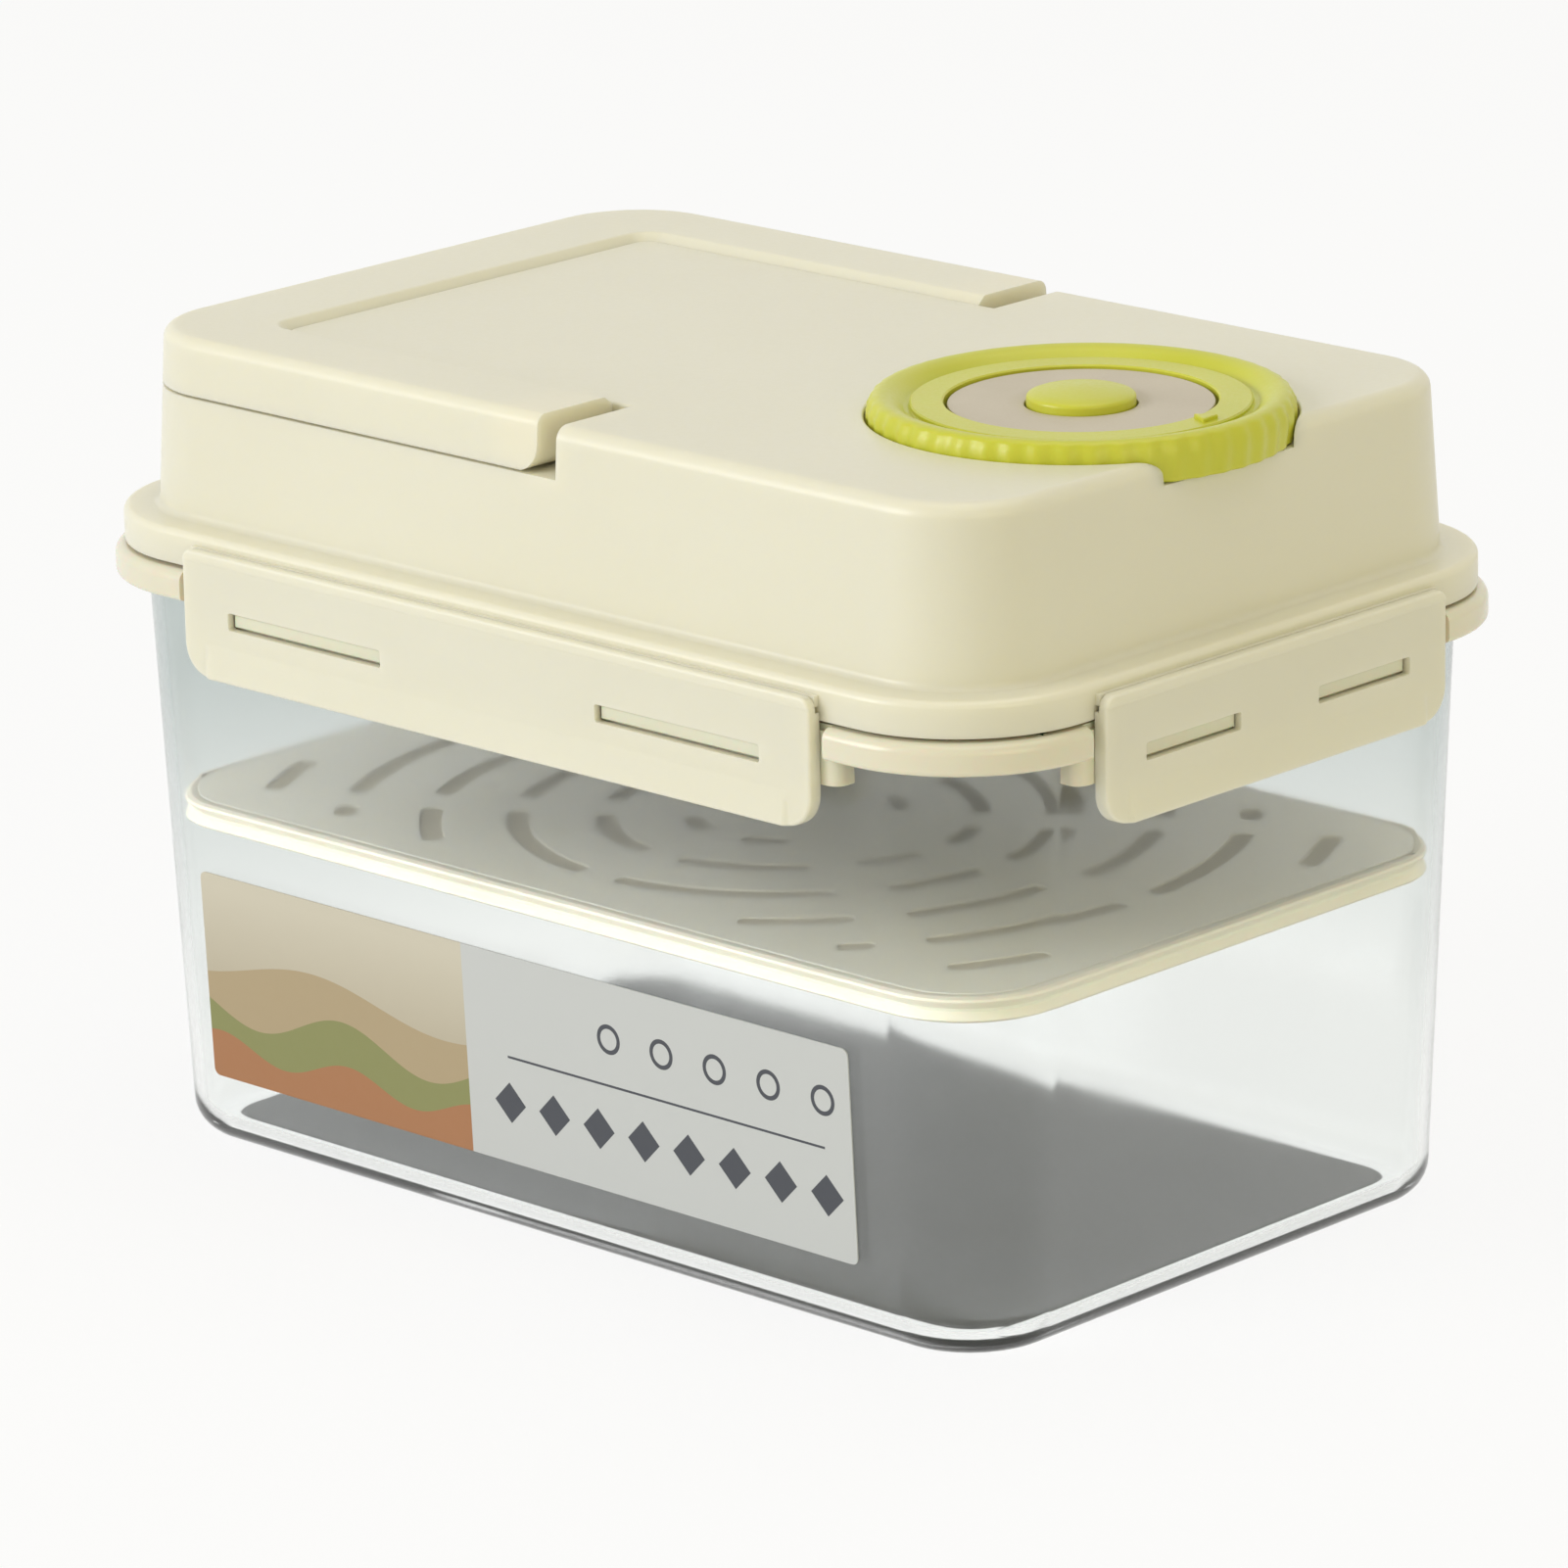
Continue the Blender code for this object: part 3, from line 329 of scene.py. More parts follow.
def combineAll(piece, steps):
    # cuts and joins in order, with the result left in the piece's own mesh
    for tool, how in steps:
        boolean = piece.modifiers.new(tool.name, "BOOLEAN")
        boolean.operation = how
        boolean.solver = "MANIFOLD"
        boolean.object = tool
    view = bpy.context.evaluated_depsgraph_get()
    view.update()
    mesh = bpy.data.meshes.new_from_object(piece.evaluated_get(view))
    piece.modifiers.clear()
    piece.data = mesh
    for tool, how in steps:
        bpy.data.objects.remove(tool)
    return piece


def finishPiece(piece, body, material, replaced, second=None, picks=None):
    mesh = piece.data
    mesh.materials.clear()
    mesh.materials.append(materials[material])
    if second:
        mesh.materials.append(materials[second])
        for face in mesh.polygons:
            face.material_index = 1 if picks(face.center) else 0
    mesh.shade_smooth()
    mesh.set_sharp_from_angle(angle=math.radians(sharpFrom))
    weighted = piece.modifiers.new("evenNormals", "WEIGHTED_NORMAL")
    weighted.keep_sharp = True
    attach(piece, body)
    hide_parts(*replaced)
    print(piece.name, len(mesh.polygons), "faces")
    return piece


def arcPoints(centreA, centreB, radius, start, end, steps=5):
    angles = [math.radians(start + (end - start) * i / steps) for i in range(steps + 1)]
    return [(centreA + radius * math.cos(a), centreB + radius * math.sin(a)) for a in angles]


def sideMatrix(side):
    turn, reach = side
    return Matrix.Rotation(turn, 4, "Z") @ Matrix.Translation((reach, 0, 0))


# the clear box

boxShape = millimetres({
    "ledgeTop": 122.9, "lipTop": 125.5, "wall": 2.2, "wallTopInset": 4.2,
    "wallFootInset": 9.3, "fillet": 7, "footHeight": 1, "footWidth": 3,
    "floor": 2.4, "ledge": 2.3, "bead": 2, "beadDrop": 6.1, "beadRound": 1.1,
    "lipRound": 0.4, "landDrop": 5.3, "landOverrun": 4, "landCorner": 2.6,
    "relief": 0.9, "reliefOverrun": 2.2, "footBreak": 0.2, "beadBreak": 0.5,
    "ledgeRound": 1, "wallRows": (45, 85), "milkyTop": 116.6, "milkyProud": 111,
})
latchShape = millimetres({
    "frontLength": 168, "sideLength": 97.4, "standOff": 2.35, "axisZ": 127.35,
    "thickness": 2, "drop": 24.3, "corner": 6.5, "topCorner": 2.5,
    "band": 7, "flare": 0.8, "slotDrop": 9.95, "slotHeight": 3.5,
    "frontSlots": (28.8, 71.3), "sideSlots": (11.1, 37.8),
    "lugClearance": 0.4, "lugReach": 0.5, "edgeRound": 0.6, "slotRound": 0.5,
    "returnDepth": 1.1, "returnWall": 1.4, "returnTop": -2.2, "returnLap": 0.2,
    "rollStep": 0.2, "rollWidth": 0.6, "rollCuts": (-0.8, -1.1, -1.4),
    "foldCuts": (0.4, 0, -0.4, -2.5), "fadeWidth": 1.6, "fadeEnd": 1,
    "fadeCuts": (-0.6, -0.2, 0.2, 0.6, 1), "lugLead": 0.35,
    "ledgeShort": 0.5, "ledgeHalf": 1.05, "hingeGap": 0.3,
})
halfLength, halfWidth = plan["halfLength"], plan["halfWidth"]
sides = {
    "front": ((-math.pi / 2, halfWidth), latchShape["frontLength"], latchShape["frontSlots"]),
    "back": ((math.pi / 2, halfWidth), latchShape["frontLength"], latchShape["frontSlots"]),
    "right": ((0, halfLength), latchShape["sideLength"], latchShape["sideSlots"]),
    "left": ((math.pi, halfLength), latchShape["sideLength"], latchShape["sideSlots"]),
}


def wallInset(z):
    share = (z - boxShape["fillet"]) / (boxShape["ledgeTop"] - boxShape["fillet"])
    return boxShape["wallFootInset"] + (boxShape["wallTopInset"] - boxShape["wallFootInset"]) * share


def makeBox(shape):
    foot = shape["wallFootInset"] + shape["fillet"]
    footIn = foot + shape["footWidth"]
    top, under = shape["ledgeTop"], shape["ledgeTop"] - shape["ledge"]
    innerFoot = shape["wallFootInset"] + shape["wall"]
    innerFillet = shape["fillet"] - shape["wall"]
    floor = shape["footHeight"] + shape["floor"]
    bead, beadWall, beadRound = shape["bead"], shape["wall"], shape["beadRound"]
    beadIn, soft, turn = beadWall - bead, shape["beadBreak"], shape["ledgeRound"]
    beadBottom = top - shape["beadDrop"]
    lipOut, lipIn = shape["wallTopInset"], shape["wallTopInset"] + shape["wall"]
    levels = [(footIn + shape["footHeight"], shape["footHeight"]), (footIn, shape["footBreak"]),
              (footIn - breakEdge, 0), (foot, 0)]
    levels += [(foot - a, shape["fillet"] - b) for a, b in arcPoints(0, 0, shape["fillet"], 90, 0, 8)][1:]
    levels += [(wallInset(z), z) for z in shape["wallRows"]]
    levels += [(wallInset(under - turn), under - turn), (wallInset(under) - breakEdge, under - breakEdge),
               (wallInset(under) - turn, under), (beadIn + soft, under), (beadIn, under - soft)]
    levels += [(beadIn, beadBottom + beadRound / 2), (beadIn - beadRound / 2, beadBottom)]
    levels += [(-a, z) for a, z in arcPoints(bead - beadRound, beadBottom + beadRound, beadRound, -90, 0, 5)]
    levels += [(-a, z) for a, z in arcPoints(bead - beadWall, top - beadWall, beadWall, 0, 90, 7)]
    r = shape["lipRound"]
    levels += [(lipOut - breakEdge, top), (lipOut, top + breakEdge), (lipOut, shape["lipTop"] - r)]
    levels += [(lipOut + r - a, shape["lipTop"] - r + b) for a, b in arcPoints(0, 0, r, 0, 90, 3)][1:]
    levels += [(lipIn - r - a, shape["lipTop"] - r + b) for a, b in arcPoints(0, 0, r, 90, 180, 3)]
    levels += [(lipIn, top)] + [(wallInset(z) + shape["wall"], z) for z in reversed(shape["wallRows"])]
    levels += [(innerFoot + innerFillet - a, floor + innerFillet - b)
               for a, b in arcPoints(0, 0, innerFillet, 0, 90, 7)]
    box = asObject(wallBody(levels), "clearBox")
    steps = []
    for name, (side, length, slots) in sides.items():
        half = length / 2 + shape["reliefOverrun"]
        relief = blockBody(-shape["relief"], bead + spare, -half, half, beadBottom - spare, top + spare)
        steps.append((asObject(relief, name + "Relief", sideMatrix(side)), "DIFFERENCE"))
    for name, (side, length, slots) in sides.items():
        steps.append((latchLand(name, side, length), "UNION"))
        for end, (near, far) in enumerate(((-slots[1], -slots[0]), slots)):
            steps.append((latchLug("%sLug%d" % (name, end), side, near, far), "UNION"))
    return combineAll(box, steps)


def latchLand(name, side, length):
    shape = boxShape
    root = shape["wallTopInset"] + shape["wall"] / 2
    half = length / 2 + shape["landOverrun"]
    low = shape["ledgeTop"] - shape["beadDrop"] - shape["landDrop"]
    high = shape["ledgeTop"] - shape["ledge"] / 2
    bm = bmesh.new()
    face = planFace(bm, root / 2, half, 0, low, 1, (-root / 2, 0))
    outer = [vert for vert in face.verts if vert.co.x > -root / 2]
    roundOff(bm, outer, shape["landCorner"], 6)
    raisedFace(bm, bm.faces[:][0], high - low)
    return asObject(bm, name + "Land", sideMatrix(side))


def latchLug(name, side, near, far):
    shape = latchShape
    slotTop = shape["axisZ"] - shape["slotDrop"]
    slotLow, clear = slotTop - shape["slotHeight"], shape["lugClearance"]
    tip = shape["standOff"] - shape["thickness"] / 2 + shape["lugReach"]
    bm = blockBody(-boxShape["wall"], tip, near + clear, far - clear, slotLow + clear, slotTop - clear)
    lead = [edge for edge in bm.edges if all(vert.co.x > 0 for vert in edge.verts)]
    roundOff(bm, lead, shape["lugLead"], 3, "EDGES")
    return asObject(bm, name, sideMatrix(side))


def isMilky(point):
    # the rim, and the lands and lugs that stand out of the wall, are cloudy
    out = breakEdge - wallInset(point.z)
    proud = abs(point.x) > halfLength + out or abs(point.y) > halfWidth + out
    return point.z > boxShape["milkyTop"] or (proud and point.z > boxShape["milkyProud"])


clearBox = makeBox(boxShape)
finishPiece(clearBox, "box", "clear", ["container_box"], second="rim", picks=isMilky)


# snap latches

def latchFace(bm, length, z, inset=0):
    # drawn lying down: x along the latch, y up from its hinge axis, z outwards
    shape = latchShape
    low, high = inset - shape["drop"], shape["thickness"] / 2
    face = planFace(bm, length / 2 - inset, (high - low) / 2, 0, z, 1, (0, (high + low) / 2))
    for below, radius in ((True, shape["corner"] - inset), (False, shape["topCorner"])):
        corners = [vert for vert in bm.verts if abs(vert.co.z - z) < touching and
                   (vert.co.y < low + slack) == below and (below or vert.co.y > high - slack)]
        roundOff(bm, corners, radius, 12)
    return bm.faces[:][0]


def latchReturn(name, length):
    # the latch's edge turned in towards the box, down both ends and along the bottom
    shape = latchShape
    back = -shape["thickness"] / 2
    rings = []
    for inset, reach in ((0, shape["returnLap"]), (shape["returnWall"], spare)):
        bm = bmesh.new()
        depth = shape["returnDepth"] + (spare if inset else 0)
        raisedFace(bm, latchFace(bm, length, back - depth, inset), depth + reach)
        rings.append(asObject(bm, name))
    top = blockBody(-length, length, shape["returnTop"], spare, back - 2 * spare, 2 * spare)
    return combineAll(rings[0], [(rings[1], "DIFFERENCE"), (asObject(top, name + "Top"), "DIFFERENCE")])


def smooth(share):
    share = min(max(share, 0), 1)
    return share * share * (3 - 2 * share)


def makeLatch(name, side, length, slots):
    shape = latchShape
    thick, low = shape["thickness"], -shape["drop"]
    bm = bmesh.new()
    raisedFace(bm, latchFace(bm, length, -thick / 2), thick)
    rim = [edge for edge in bm.edges if edge.calc_face_angle(0) > 1
           and (all(vert.co.z > 0 for vert in edge.verts)
                or all(vert.co.y > thick / 2 - slack for vert in edge.verts))]
    roundOff(bm, rim, shape["edgeRound"], 4, "EDGES")
    piece = asObject(bm, name)
    steps = [(latchReturn(name + "Return", length), "UNION")]
    for end, (near, far) in enumerate(((-slots[1], -slots[0]), slots)):
        cutter = bmesh.new()
        slotFace = planFace(cutter, (far - near) / 2, shape["slotHeight"] / 2, shape["slotRound"],
                            -spare, 4, ((near + far) / 2, -shape["slotDrop"] - shape["slotHeight"] / 2))
        raisedFace(cutter, slotFace, 2 * spare)
        steps.append((asObject(cutter, "%sSlot%d" % (name, end)), "DIFFERENCE"))
    combineAll(piece, steps)
    bm = bmesh.new()
    bm.from_mesh(piece.data)
    fold, fade = low + shape["band"], length / 2 - shape["corner"]
    across = list(shape["rollCuts"]) + [fold + step for step in shape["foldCuts"]]
    cuts = [(Vector((0, y, 0)), Vector((0, 1, 0))) for y in across]
    cuts += [(Vector((sign * (fade + step), 0, 0)), Vector((1, 0, 0)))
             for sign in (-1, 1) for step in shape["fadeCuts"]]
    for point, normal in cuts:
        bmesh.ops.bisect_plane(bm, geom=bm.verts[:] + bm.edges[:] + bm.faces[:], dist=touching,
                               plane_co=point, plane_no=normal)
    for vert in bm.verts:
        lower = min(max((fold - vert.co.y) / shape["band"], 0), 1)
        inward = smooth((fade + shape["fadeEnd"] - abs(vert.co.x)) / shape["fadeWidth"])
        vert.co.z += shape["flare"] * lower * inward
        if vert.co.z > 0:
            below = (shape["rollCuts"][0] - vert.co.y) / shape["rollWidth"]
            vert.co.z -= shape["rollStep"] * smooth(below)
    stand = Matrix.Rotation(math.pi / 2, 4, "Z") @ Matrix.Rotation(math.pi / 2, 4, "X")
    place = sideMatrix(side) @ Matrix.Translation((shape["standOff"], 0, shape["axisZ"])) @ stand
    bmesh.ops.transform(bm, matrix=place, verts=bm.verts)
    bm.to_mesh(piece.data)
    bm.free()
    return piece


for latchSide, (side, length, slots) in sides.items():
    made = makeLatch(latchSide + "SnapLatch", side, length, slots)
    finishPiece(made, latchSide + "_latch", "cream", ["latch_" + latchSide])


# lid

lidShape = millimetres({
    "skirtBottom": 123.5, "flangeTop": 130.5, "top": 165, "wall": 2.2,
    "flangeRound": 1.4, "domeFoot": 7.3, "domeTop": 9.3, "footRound": 1.5,
    "topRound": 3, "plugInset": 7.6, "plugBottom": 119.5, "grooveRoof": 128.3,
    "stepFloor": 154.7, "plateauX": -88.2, "plateauY": 51.1, "plateauCorner": 3.5,
    "notchX": 8.3, "edgeRound": 0.6, "hubWall": 2,
    "plugRound": ((0.5, 0), (0.1, 0.15), (0, 0.5)),
    "skirtRound": ((0.4, 0), (0.1, 0.1), (0, 0.4)),
})
handleShape = millimetres({
    "top": 166.4, "bottom": 155, "edgeRound": 2.4, "sideGap": 0.4,
    "slopeRun": 2, "slopeDrop": 1.6, "slopeRound": 0.5,
    "slopeFoot": ((0.12, -0.2), (0.4, 0.1)),
    "slopeHead": ((-0.3, -0.3), (0, -0.1)), "lowBreak": 0.5,
    "pivotX": -2.5, "pivotZ": 160.7, "shell": 2.4, "web": 6.5, "pegRadius": 2.6,
    "pegLength": 3.6, "pegGap": 0.3, "heel": 5.7, "bossHalf": 5.2,
}, lowBreakShare=0.3)
dialShape = millimetres({
    "x": 76.3, "radius": 40.7, "gap": 0.35, "pocketFloor": 160, "bottom": 160.3,
    "top": 168.8, "hub": 25.6, "hubTop": 164.7, "bandWidth": 6.4, "bandDrop": 1.4,
    "grooveDrop": 2.6, "grooveWidth": 1.2, "crestInset": 3.1,
    "ribDepth": 0.45, "wellFloor": 159.1, "well": 10.8, "bore": 6.3,
    "discTop": 166.8, "discBottom": 165, "button": 10.4, "buttonTop": 169.6,
    "buttonWall": 1.8, "skirtLow": 162, "stemLow": 149.8, "crown": 1.1,
    "pointerSize": 2.7, "pointerInset": 1.8, "pointerSunk": 0.4,
    "pointerHeight": 1.2, "ribFrom": 1, "ribFade": 1.5,
    "rimLow": ((-0.7, 0), (-0.4, 0.3), (0, 3.8)),
    "rimHigh": ((-0.1, -2.4), (-0.7, -1.3)),
    "crestReach": 2.3, "crestFall": 1.1, "crestSlope": ((0, 0), (-1.4, -0.35), (-2.6, -1.1)),
    "grooveBreak": 0.2,
    "discEdge": ((0, -0.3), (-0.09, -0.09), (-0.3, 0)),
    "discDish": ((3.5, 0), (2.4, -0.1), (0.3, -0.3), (0, -0.45)),
    "buttonRound": 0.9, "stemRadius": 3, "roofWall": 1,
}, ribs=48, ribFacets=6, pointerAngle=4, crownShares=(0.85, 0.7, 0.5, 0.3, 0.12))
dialPlace = Matrix.Translation((dialShape["x"], 0, 0))


def domeInset(z):
    share = (z - lidShape["flangeTop"]) / (lidShape["top"] - lidShape["flangeTop"])
    return lidShape["domeFoot"] + (lidShape["domeTop"] - lidShape["domeFoot"]) * share


def plateauFace(bm, grow, xEnd, z):
    # the raised middle of the lid, square at the dial's end and round at the handle's
    shape = lidShape
    x0 = shape["plateauX"] - grow
    half = shape["plateauY"] + grow
    face = planFace(bm, (xEnd - x0) / 2, half, 0, z, 1, ((xEnd + x0) / 2, 0))
    round_ = [vert for vert in face.verts if vert.co.x < (xEnd + x0) / 2]
    roundOff(bm, round_, shape["plateauCorner"] + grow, 10)
    return [f for f in bm.faces if abs(f.calc_center_median().z - z) < touching][0]


def plateauBody(levels, xEnd):
    bm = bmesh.new()
    return bridgeFaces(bm, [plateauFace(bm, grow, xEnd, z) for grow, z in levels])


def stepCutter(name, grow, floor):
    # a block over the lid's left half, less the plateau that stays
    shape = lidShape
    block = asObject(blockBody(-halfLength - spare, shape["notchX"] + grow, -halfWidth - spare,
                               halfWidth + spare, floor, shape["top"] + 2 * spare), name)
    r = shape["edgeRound"]
    levels = [(-grow, floor - spare), (-grow, shape["top"] - r)]
    if grow == 0:
        levels += [(a - r, shape["top"] - r + b) for a, b in arcPoints(0, 0, r, 0, 90, 4)][1:]
        levels += [(-r, shape["top"] + 3 * spare)]
    else:
        levels += [(-grow, shape["top"] + 3 * spare)]
    middle = asObject(plateauBody(levels, shape["notchX"] + grow + spare), name + "Middle")
    return combineAll(block, [(middle, "DIFFERENCE")])


def rodAlongY(name, radius, y0, y1, x, z):
    bm = bmesh.new()
    bmesh.ops.create_cone(bm, cap_ends=True, segments=32, radius1=radius, radius2=radius, depth=abs(y1 - y0))
    place = Matrix.Translation((x, (y0 + y1) / 2, z)) @ Matrix.Rotation(math.pi / 2, 4, "X")
    return asObject(bm, name, place)


def makeLid(shape):
    wall, top, round_ = shape["wall"], shape["top"], shape["topRound"]
    foot = shape["domeFoot"] + wall
    levels = [(foot, shape["plugBottom"] - spare), (foot, shape["flangeTop"]),
              (domeInset(top - round_) + wall, top - round_)]
    levels += [(domeInset(top - wall) + wall + (round_ - wall) - a, top - round_ + b)
               for a, b in arcPoints(0, 0, round_ - wall, 0, 90, 5)][1:]
    cavity = asObject(wallBody(levels), "lidCavity")
    dial = dialShape
    steps = [(stepCutter("stepWall", wall, shape["stepFloor"] - wall), "DIFFERENCE")]
    low, reach = dial["pocketFloor"] - wall, dial["radius"] + dial["gap"] + wall
    pocket = [(0, low), (reach, low), (reach, top + spare), (0, top + spare)]
    steps.append((asObject(spunBody(pocket, 96, False), "pocketWall", dialPlace), "DIFFERENCE"))
    for sign in (-1, 1):
        y0, y1 = shape["plateauY"] - wall - handleShape["pegLength"], shape["plateauY"] - wall + spare
        x, half = handleShape["pivotX"], handleShape["bossHalf"]
        boss = blockBody(x - half, x + half, sign * y0, sign * y1, shape["stepFloor"] - wall - spare, top)
        steps.append((asObject(boss, "boss"), "DIFFERENCE"))
    low, high = dial["pocketFloor"] - wall - spare, dial["hubTop"] - shape["hubWall"]
    coreIn, coreOut = dial["well"] + shape["hubWall"], dial["hub"] - shape["hubWall"]
    core = [(coreIn, low), (coreOut, low), (coreOut, high), (coreIn, high)]
    steps.append((asObject(spunBody(core, 96), "hubCore", dialPlace), "UNION"))
    combineAll(cavity, steps)

    flange, skirt = shape["flangeTop"], shape["skirtBottom"]
    levels = [(shape["plugInset"] + back, shape["plugBottom"] + up) for back, up in shape["plugRound"]]
    levels += [(shape["plugInset"], shape["grooveRoof"]), (wall, shape["grooveRoof"]),
               (wall, skirt + breakEdge), (wall - breakEdge, skirt)]
    levels += [(back, skirt + up) for back, up in shape["skirtRound"]]
    r = shape["flangeRound"]
    levels += [(r - a, flange - r + b) for a, b in arcPoints(0, 0, r, 0, 90, 7)]
    r = shape["footRound"]
    levels += [(shape["domeFoot"] - r + a, flange + r - b)
               for a, b in reversed(arcPoints(0, 0, r, 0, 90, 5))]
    base = top - round_
    levels += [(domeInset(base) + round_ - a, base + b) for a, b in arcPoints(0, 0, round_, 0, 90, 10)]
    lid = asObject(wallBody(levels), "lidDome")

    step = stepCutter("handleStep", 0, shape["stepFloor"])
    bores = []
    for sign in (-1, 1):
        y0 = shape["plateauY"] - handleShape["pegLength"] - handleShape["pegGap"]
        bores.append((rodAlongY("bore", handleShape["pegRadius"] + handleShape["pegGap"], sign * y0,
                                sign * (shape["plateauY"] + spare), handleShape["pivotX"],
                                handleShape["pivotZ"]), "UNION"))
    combineAll(step, bores)
    r, reach = shape["edgeRound"], dial["radius"] + dial["gap"]
    low, high = dial["pocketFloor"] - wall - spare, top + spare
    well, hub, floor = dial["well"], dial["hub"], dial["pocketFloor"]
    recess = [(0, low), (dial["bore"], low), (dial["bore"], dial["wellFloor"]), (well, dial["wellFloor"]),
              (well, dial["hubTop"]), (hub, dial["hubTop"]), (hub, floor), (reach, floor), (reach, top - r)]
    recess += [(reach + r - a, top - r + b) for a, b in arcPoints(0, 0, r, 0, 90, 4)][1:]
    recess += [(reach + r, high), (0, high)]
    steps = [(step, "DIFFERENCE"), (cavity, "DIFFERENCE"),
             (asObject(spunBody(recess, 144, False), "dialRecess", dialPlace), "DIFFERENCE")]
    for name, (side, length, slots) in sides.items():
        half, thick = length / 2 - latchShape["ledgeShort"], latchShape["ledgeHalf"]
        out = latchShape["standOff"] - latchShape["thickness"] / 2 - latchShape["hingeGap"]
        z = latchShape["axisZ"]
        ledge = blockBody(-wall / 2, out, -half, half, z - thick, z + thick)
        steps.append((asObject(ledge, name + "Ledge", sideMatrix(side)), "UNION"))
    return combineAll(lid, steps)


lidDome = makeLid(lidShape)
finishPiece(lidDome, "lid", "cream", ["lid_shell"])


# carry handle

def handleSolid(name, shell, z0, z1, xEnd):
    shape = handleShape
    if shell:
        levels = [(domeInset(z0) + shell, z0), (domeInset(z1) + shell, z1)]
        middleLevels = [(shape["sideGap"] + shell, z0 - spare), (shape["sideGap"] + shell, z1 + spare)]
    else:
        r, c = shape["edgeRound"], shape["lowBreak"]
        near = c * shape["lowBreakShare"]
        levels = [(domeInset(z0) + c, z0), (domeInset(z0) + near, z0 + near), (domeInset(z0), z0 + c)]
        levels += [(domeInset(z1 - r) + r - a, z1 - r + b) for a, b in arcPoints(0, 0, r, 0, 90, 8)]
        g, r, run, drop = shape["sideGap"], shape["slopeRound"], shape["slopeRun"], shape["slopeDrop"]
        middleLevels = [(g, z0 - spare), (g, z1 - drop - r)]
        middleLevels += [(g + out, z1 - drop + up) for out, up in shape["slopeFoot"]]
        middleLevels += [(g + run + out, z1 + up) for out, up in shape["slopeHead"]]
        middleLevels += [(g + run + r, z1), (g + run + r, z1 + spare)]
    body = asObject(wallBody(levels), name)
    middle = asObject(plateauBody(middleLevels, halfLength + spare), name + "Middle")
    right = asObject(blockBody(xEnd, halfLength + spare, -halfWidth - spare, halfWidth + spare,
                               z0 - spare, z1 + spare), name + "Right")
    return combineAll(body, [(middle, "DIFFERENCE"), (right, "DIFFERENCE")])


def makeHandle(shape):
    heel, x, z = shape["heel"], shape["pivotX"], shape["pivotZ"]
    handle = handleSolid("foldingHandle", 0, shape["bottom"], shape["top"], x + heel)
    block = blockBody(x, x + heel + spare, -halfWidth - spare, halfWidth + spare, z - heel - spare, z)
    heelCut = asObject(block, "heelCut")
    rod = rodAlongY("heelRod", heel, -halfWidth - 2 * spare, halfWidth + 2 * spare, x, z)
    combineAll(heelCut, [(rod, "DIFFERENCE")])
    channel = handleSolid("handleChannel", shape["shell"], shape["bottom"] - spare,
                          shape["top"] - shape["shell"], x - shape["web"])
    steps = [(heelCut, "DIFFERENCE"), (channel, "DIFFERENCE")]
    for sign in (-1, 1):
        inner = lidShape["plateauY"] + shape["sideGap"] - shape["pegLength"]
        outer = lidShape["plateauY"] + shape["sideGap"] + shape["shell"]
        steps.append((rodAlongY("peg", shape["pegRadius"], sign * inner, sign * outer, x, z), "UNION"))
    return combineAll(handle, steps)


foldingHandle = makeHandle(handleShape)
finishPiece(foldingHandle, "handle", "cream", ["carry_handle"])


# dial, disc and button

def makeDialRing(shape):
    inner, outer = shape["hub"] + shape["gap"], shape["radius"]
    band, crest = inner + shape["bandWidth"], outer - shape["crestInset"]
    top, bottom = shape["top"], shape["bottom"]
    bandTop, grooveTop = top - shape["bandDrop"], top - shape["grooveDrop"]
    groove, ribsFrom = band + shape["grooveWidth"], crest + shape["ribFrom"]
    profile = [(inner, bottom + breakEdge), (inner + breakEdge, bottom)]
    profile += [(outer + out, bottom + up) for out, up in shape["rimLow"]]
    profile += [(outer + out, top + up) for out, up in shape["rimHigh"]]
    profile += [(crest + shape["crestReach"] * math.sin(math.radians(t)),
                 top - shape["crestFall"] * (1 - math.cos(math.radians(t)))) for t in (80, 60, 40, 20)]
    profile += [(crest + out, top + up) for out, up in shape["crestSlope"]]
    profile += [(groove + shape["grooveBreak"], grooveTop + breakEdge), (groove - breakEdge, grooveTop),
                (band + breakEdge, grooveTop), (band, grooveTop + breakEdge), (band, bandTop - breakEdge),
                (band - breakEdge, bandTop), (inner + breakEdge, bandTop), (inner, bandTop - breakEdge)]
    bm = spunBody(profile, shape["ribs"] * shape["ribFacets"])
    for vert in bm.verts:
        radius = math.hypot(vert.co.x, vert.co.y)
        if radius > ribsFrom:
            wave = 0.5 - 0.5 * math.cos(shape["ribs"] * math.atan2(vert.co.y, vert.co.x))
            share = min((radius - ribsFrom) / shape["ribFade"], 1)
            shrink = 1 - shape["ribDepth"] * wave * share / radius
            vert.co.x *= shrink
            vert.co.y *= shrink
    ring = asObject(bm, "turningRing", dialPlace)
    middle = inner + shape["pointerInset"] + shape["pointerSize"] / 2
    bm = bmesh.new()
    bmesh.ops.create_circle(bm, cap_ends=True, radius=shape["pointerSize"], segments=3)
    bmesh.ops.translate(bm, vec=(0, 0, bandTop - shape["pointerSunk"]), verts=bm.verts)
    raisedFace(bm, bm.faces[:][0], shape["pointerHeight"])
    softenEdges(bm, breakEdge)
    turn = Matrix.Rotation(math.radians(shape["pointerAngle"]), 4, "Z")
    inwards = Matrix.Translation((middle, 0, 0)) @ Matrix.Rotation(math.pi / 2, 4, "Z")
    pointer = asObject(bm, "pointer", dialPlace @ turn @ inwards)
    return combineAll(ring, [(pointer, "UNION")])


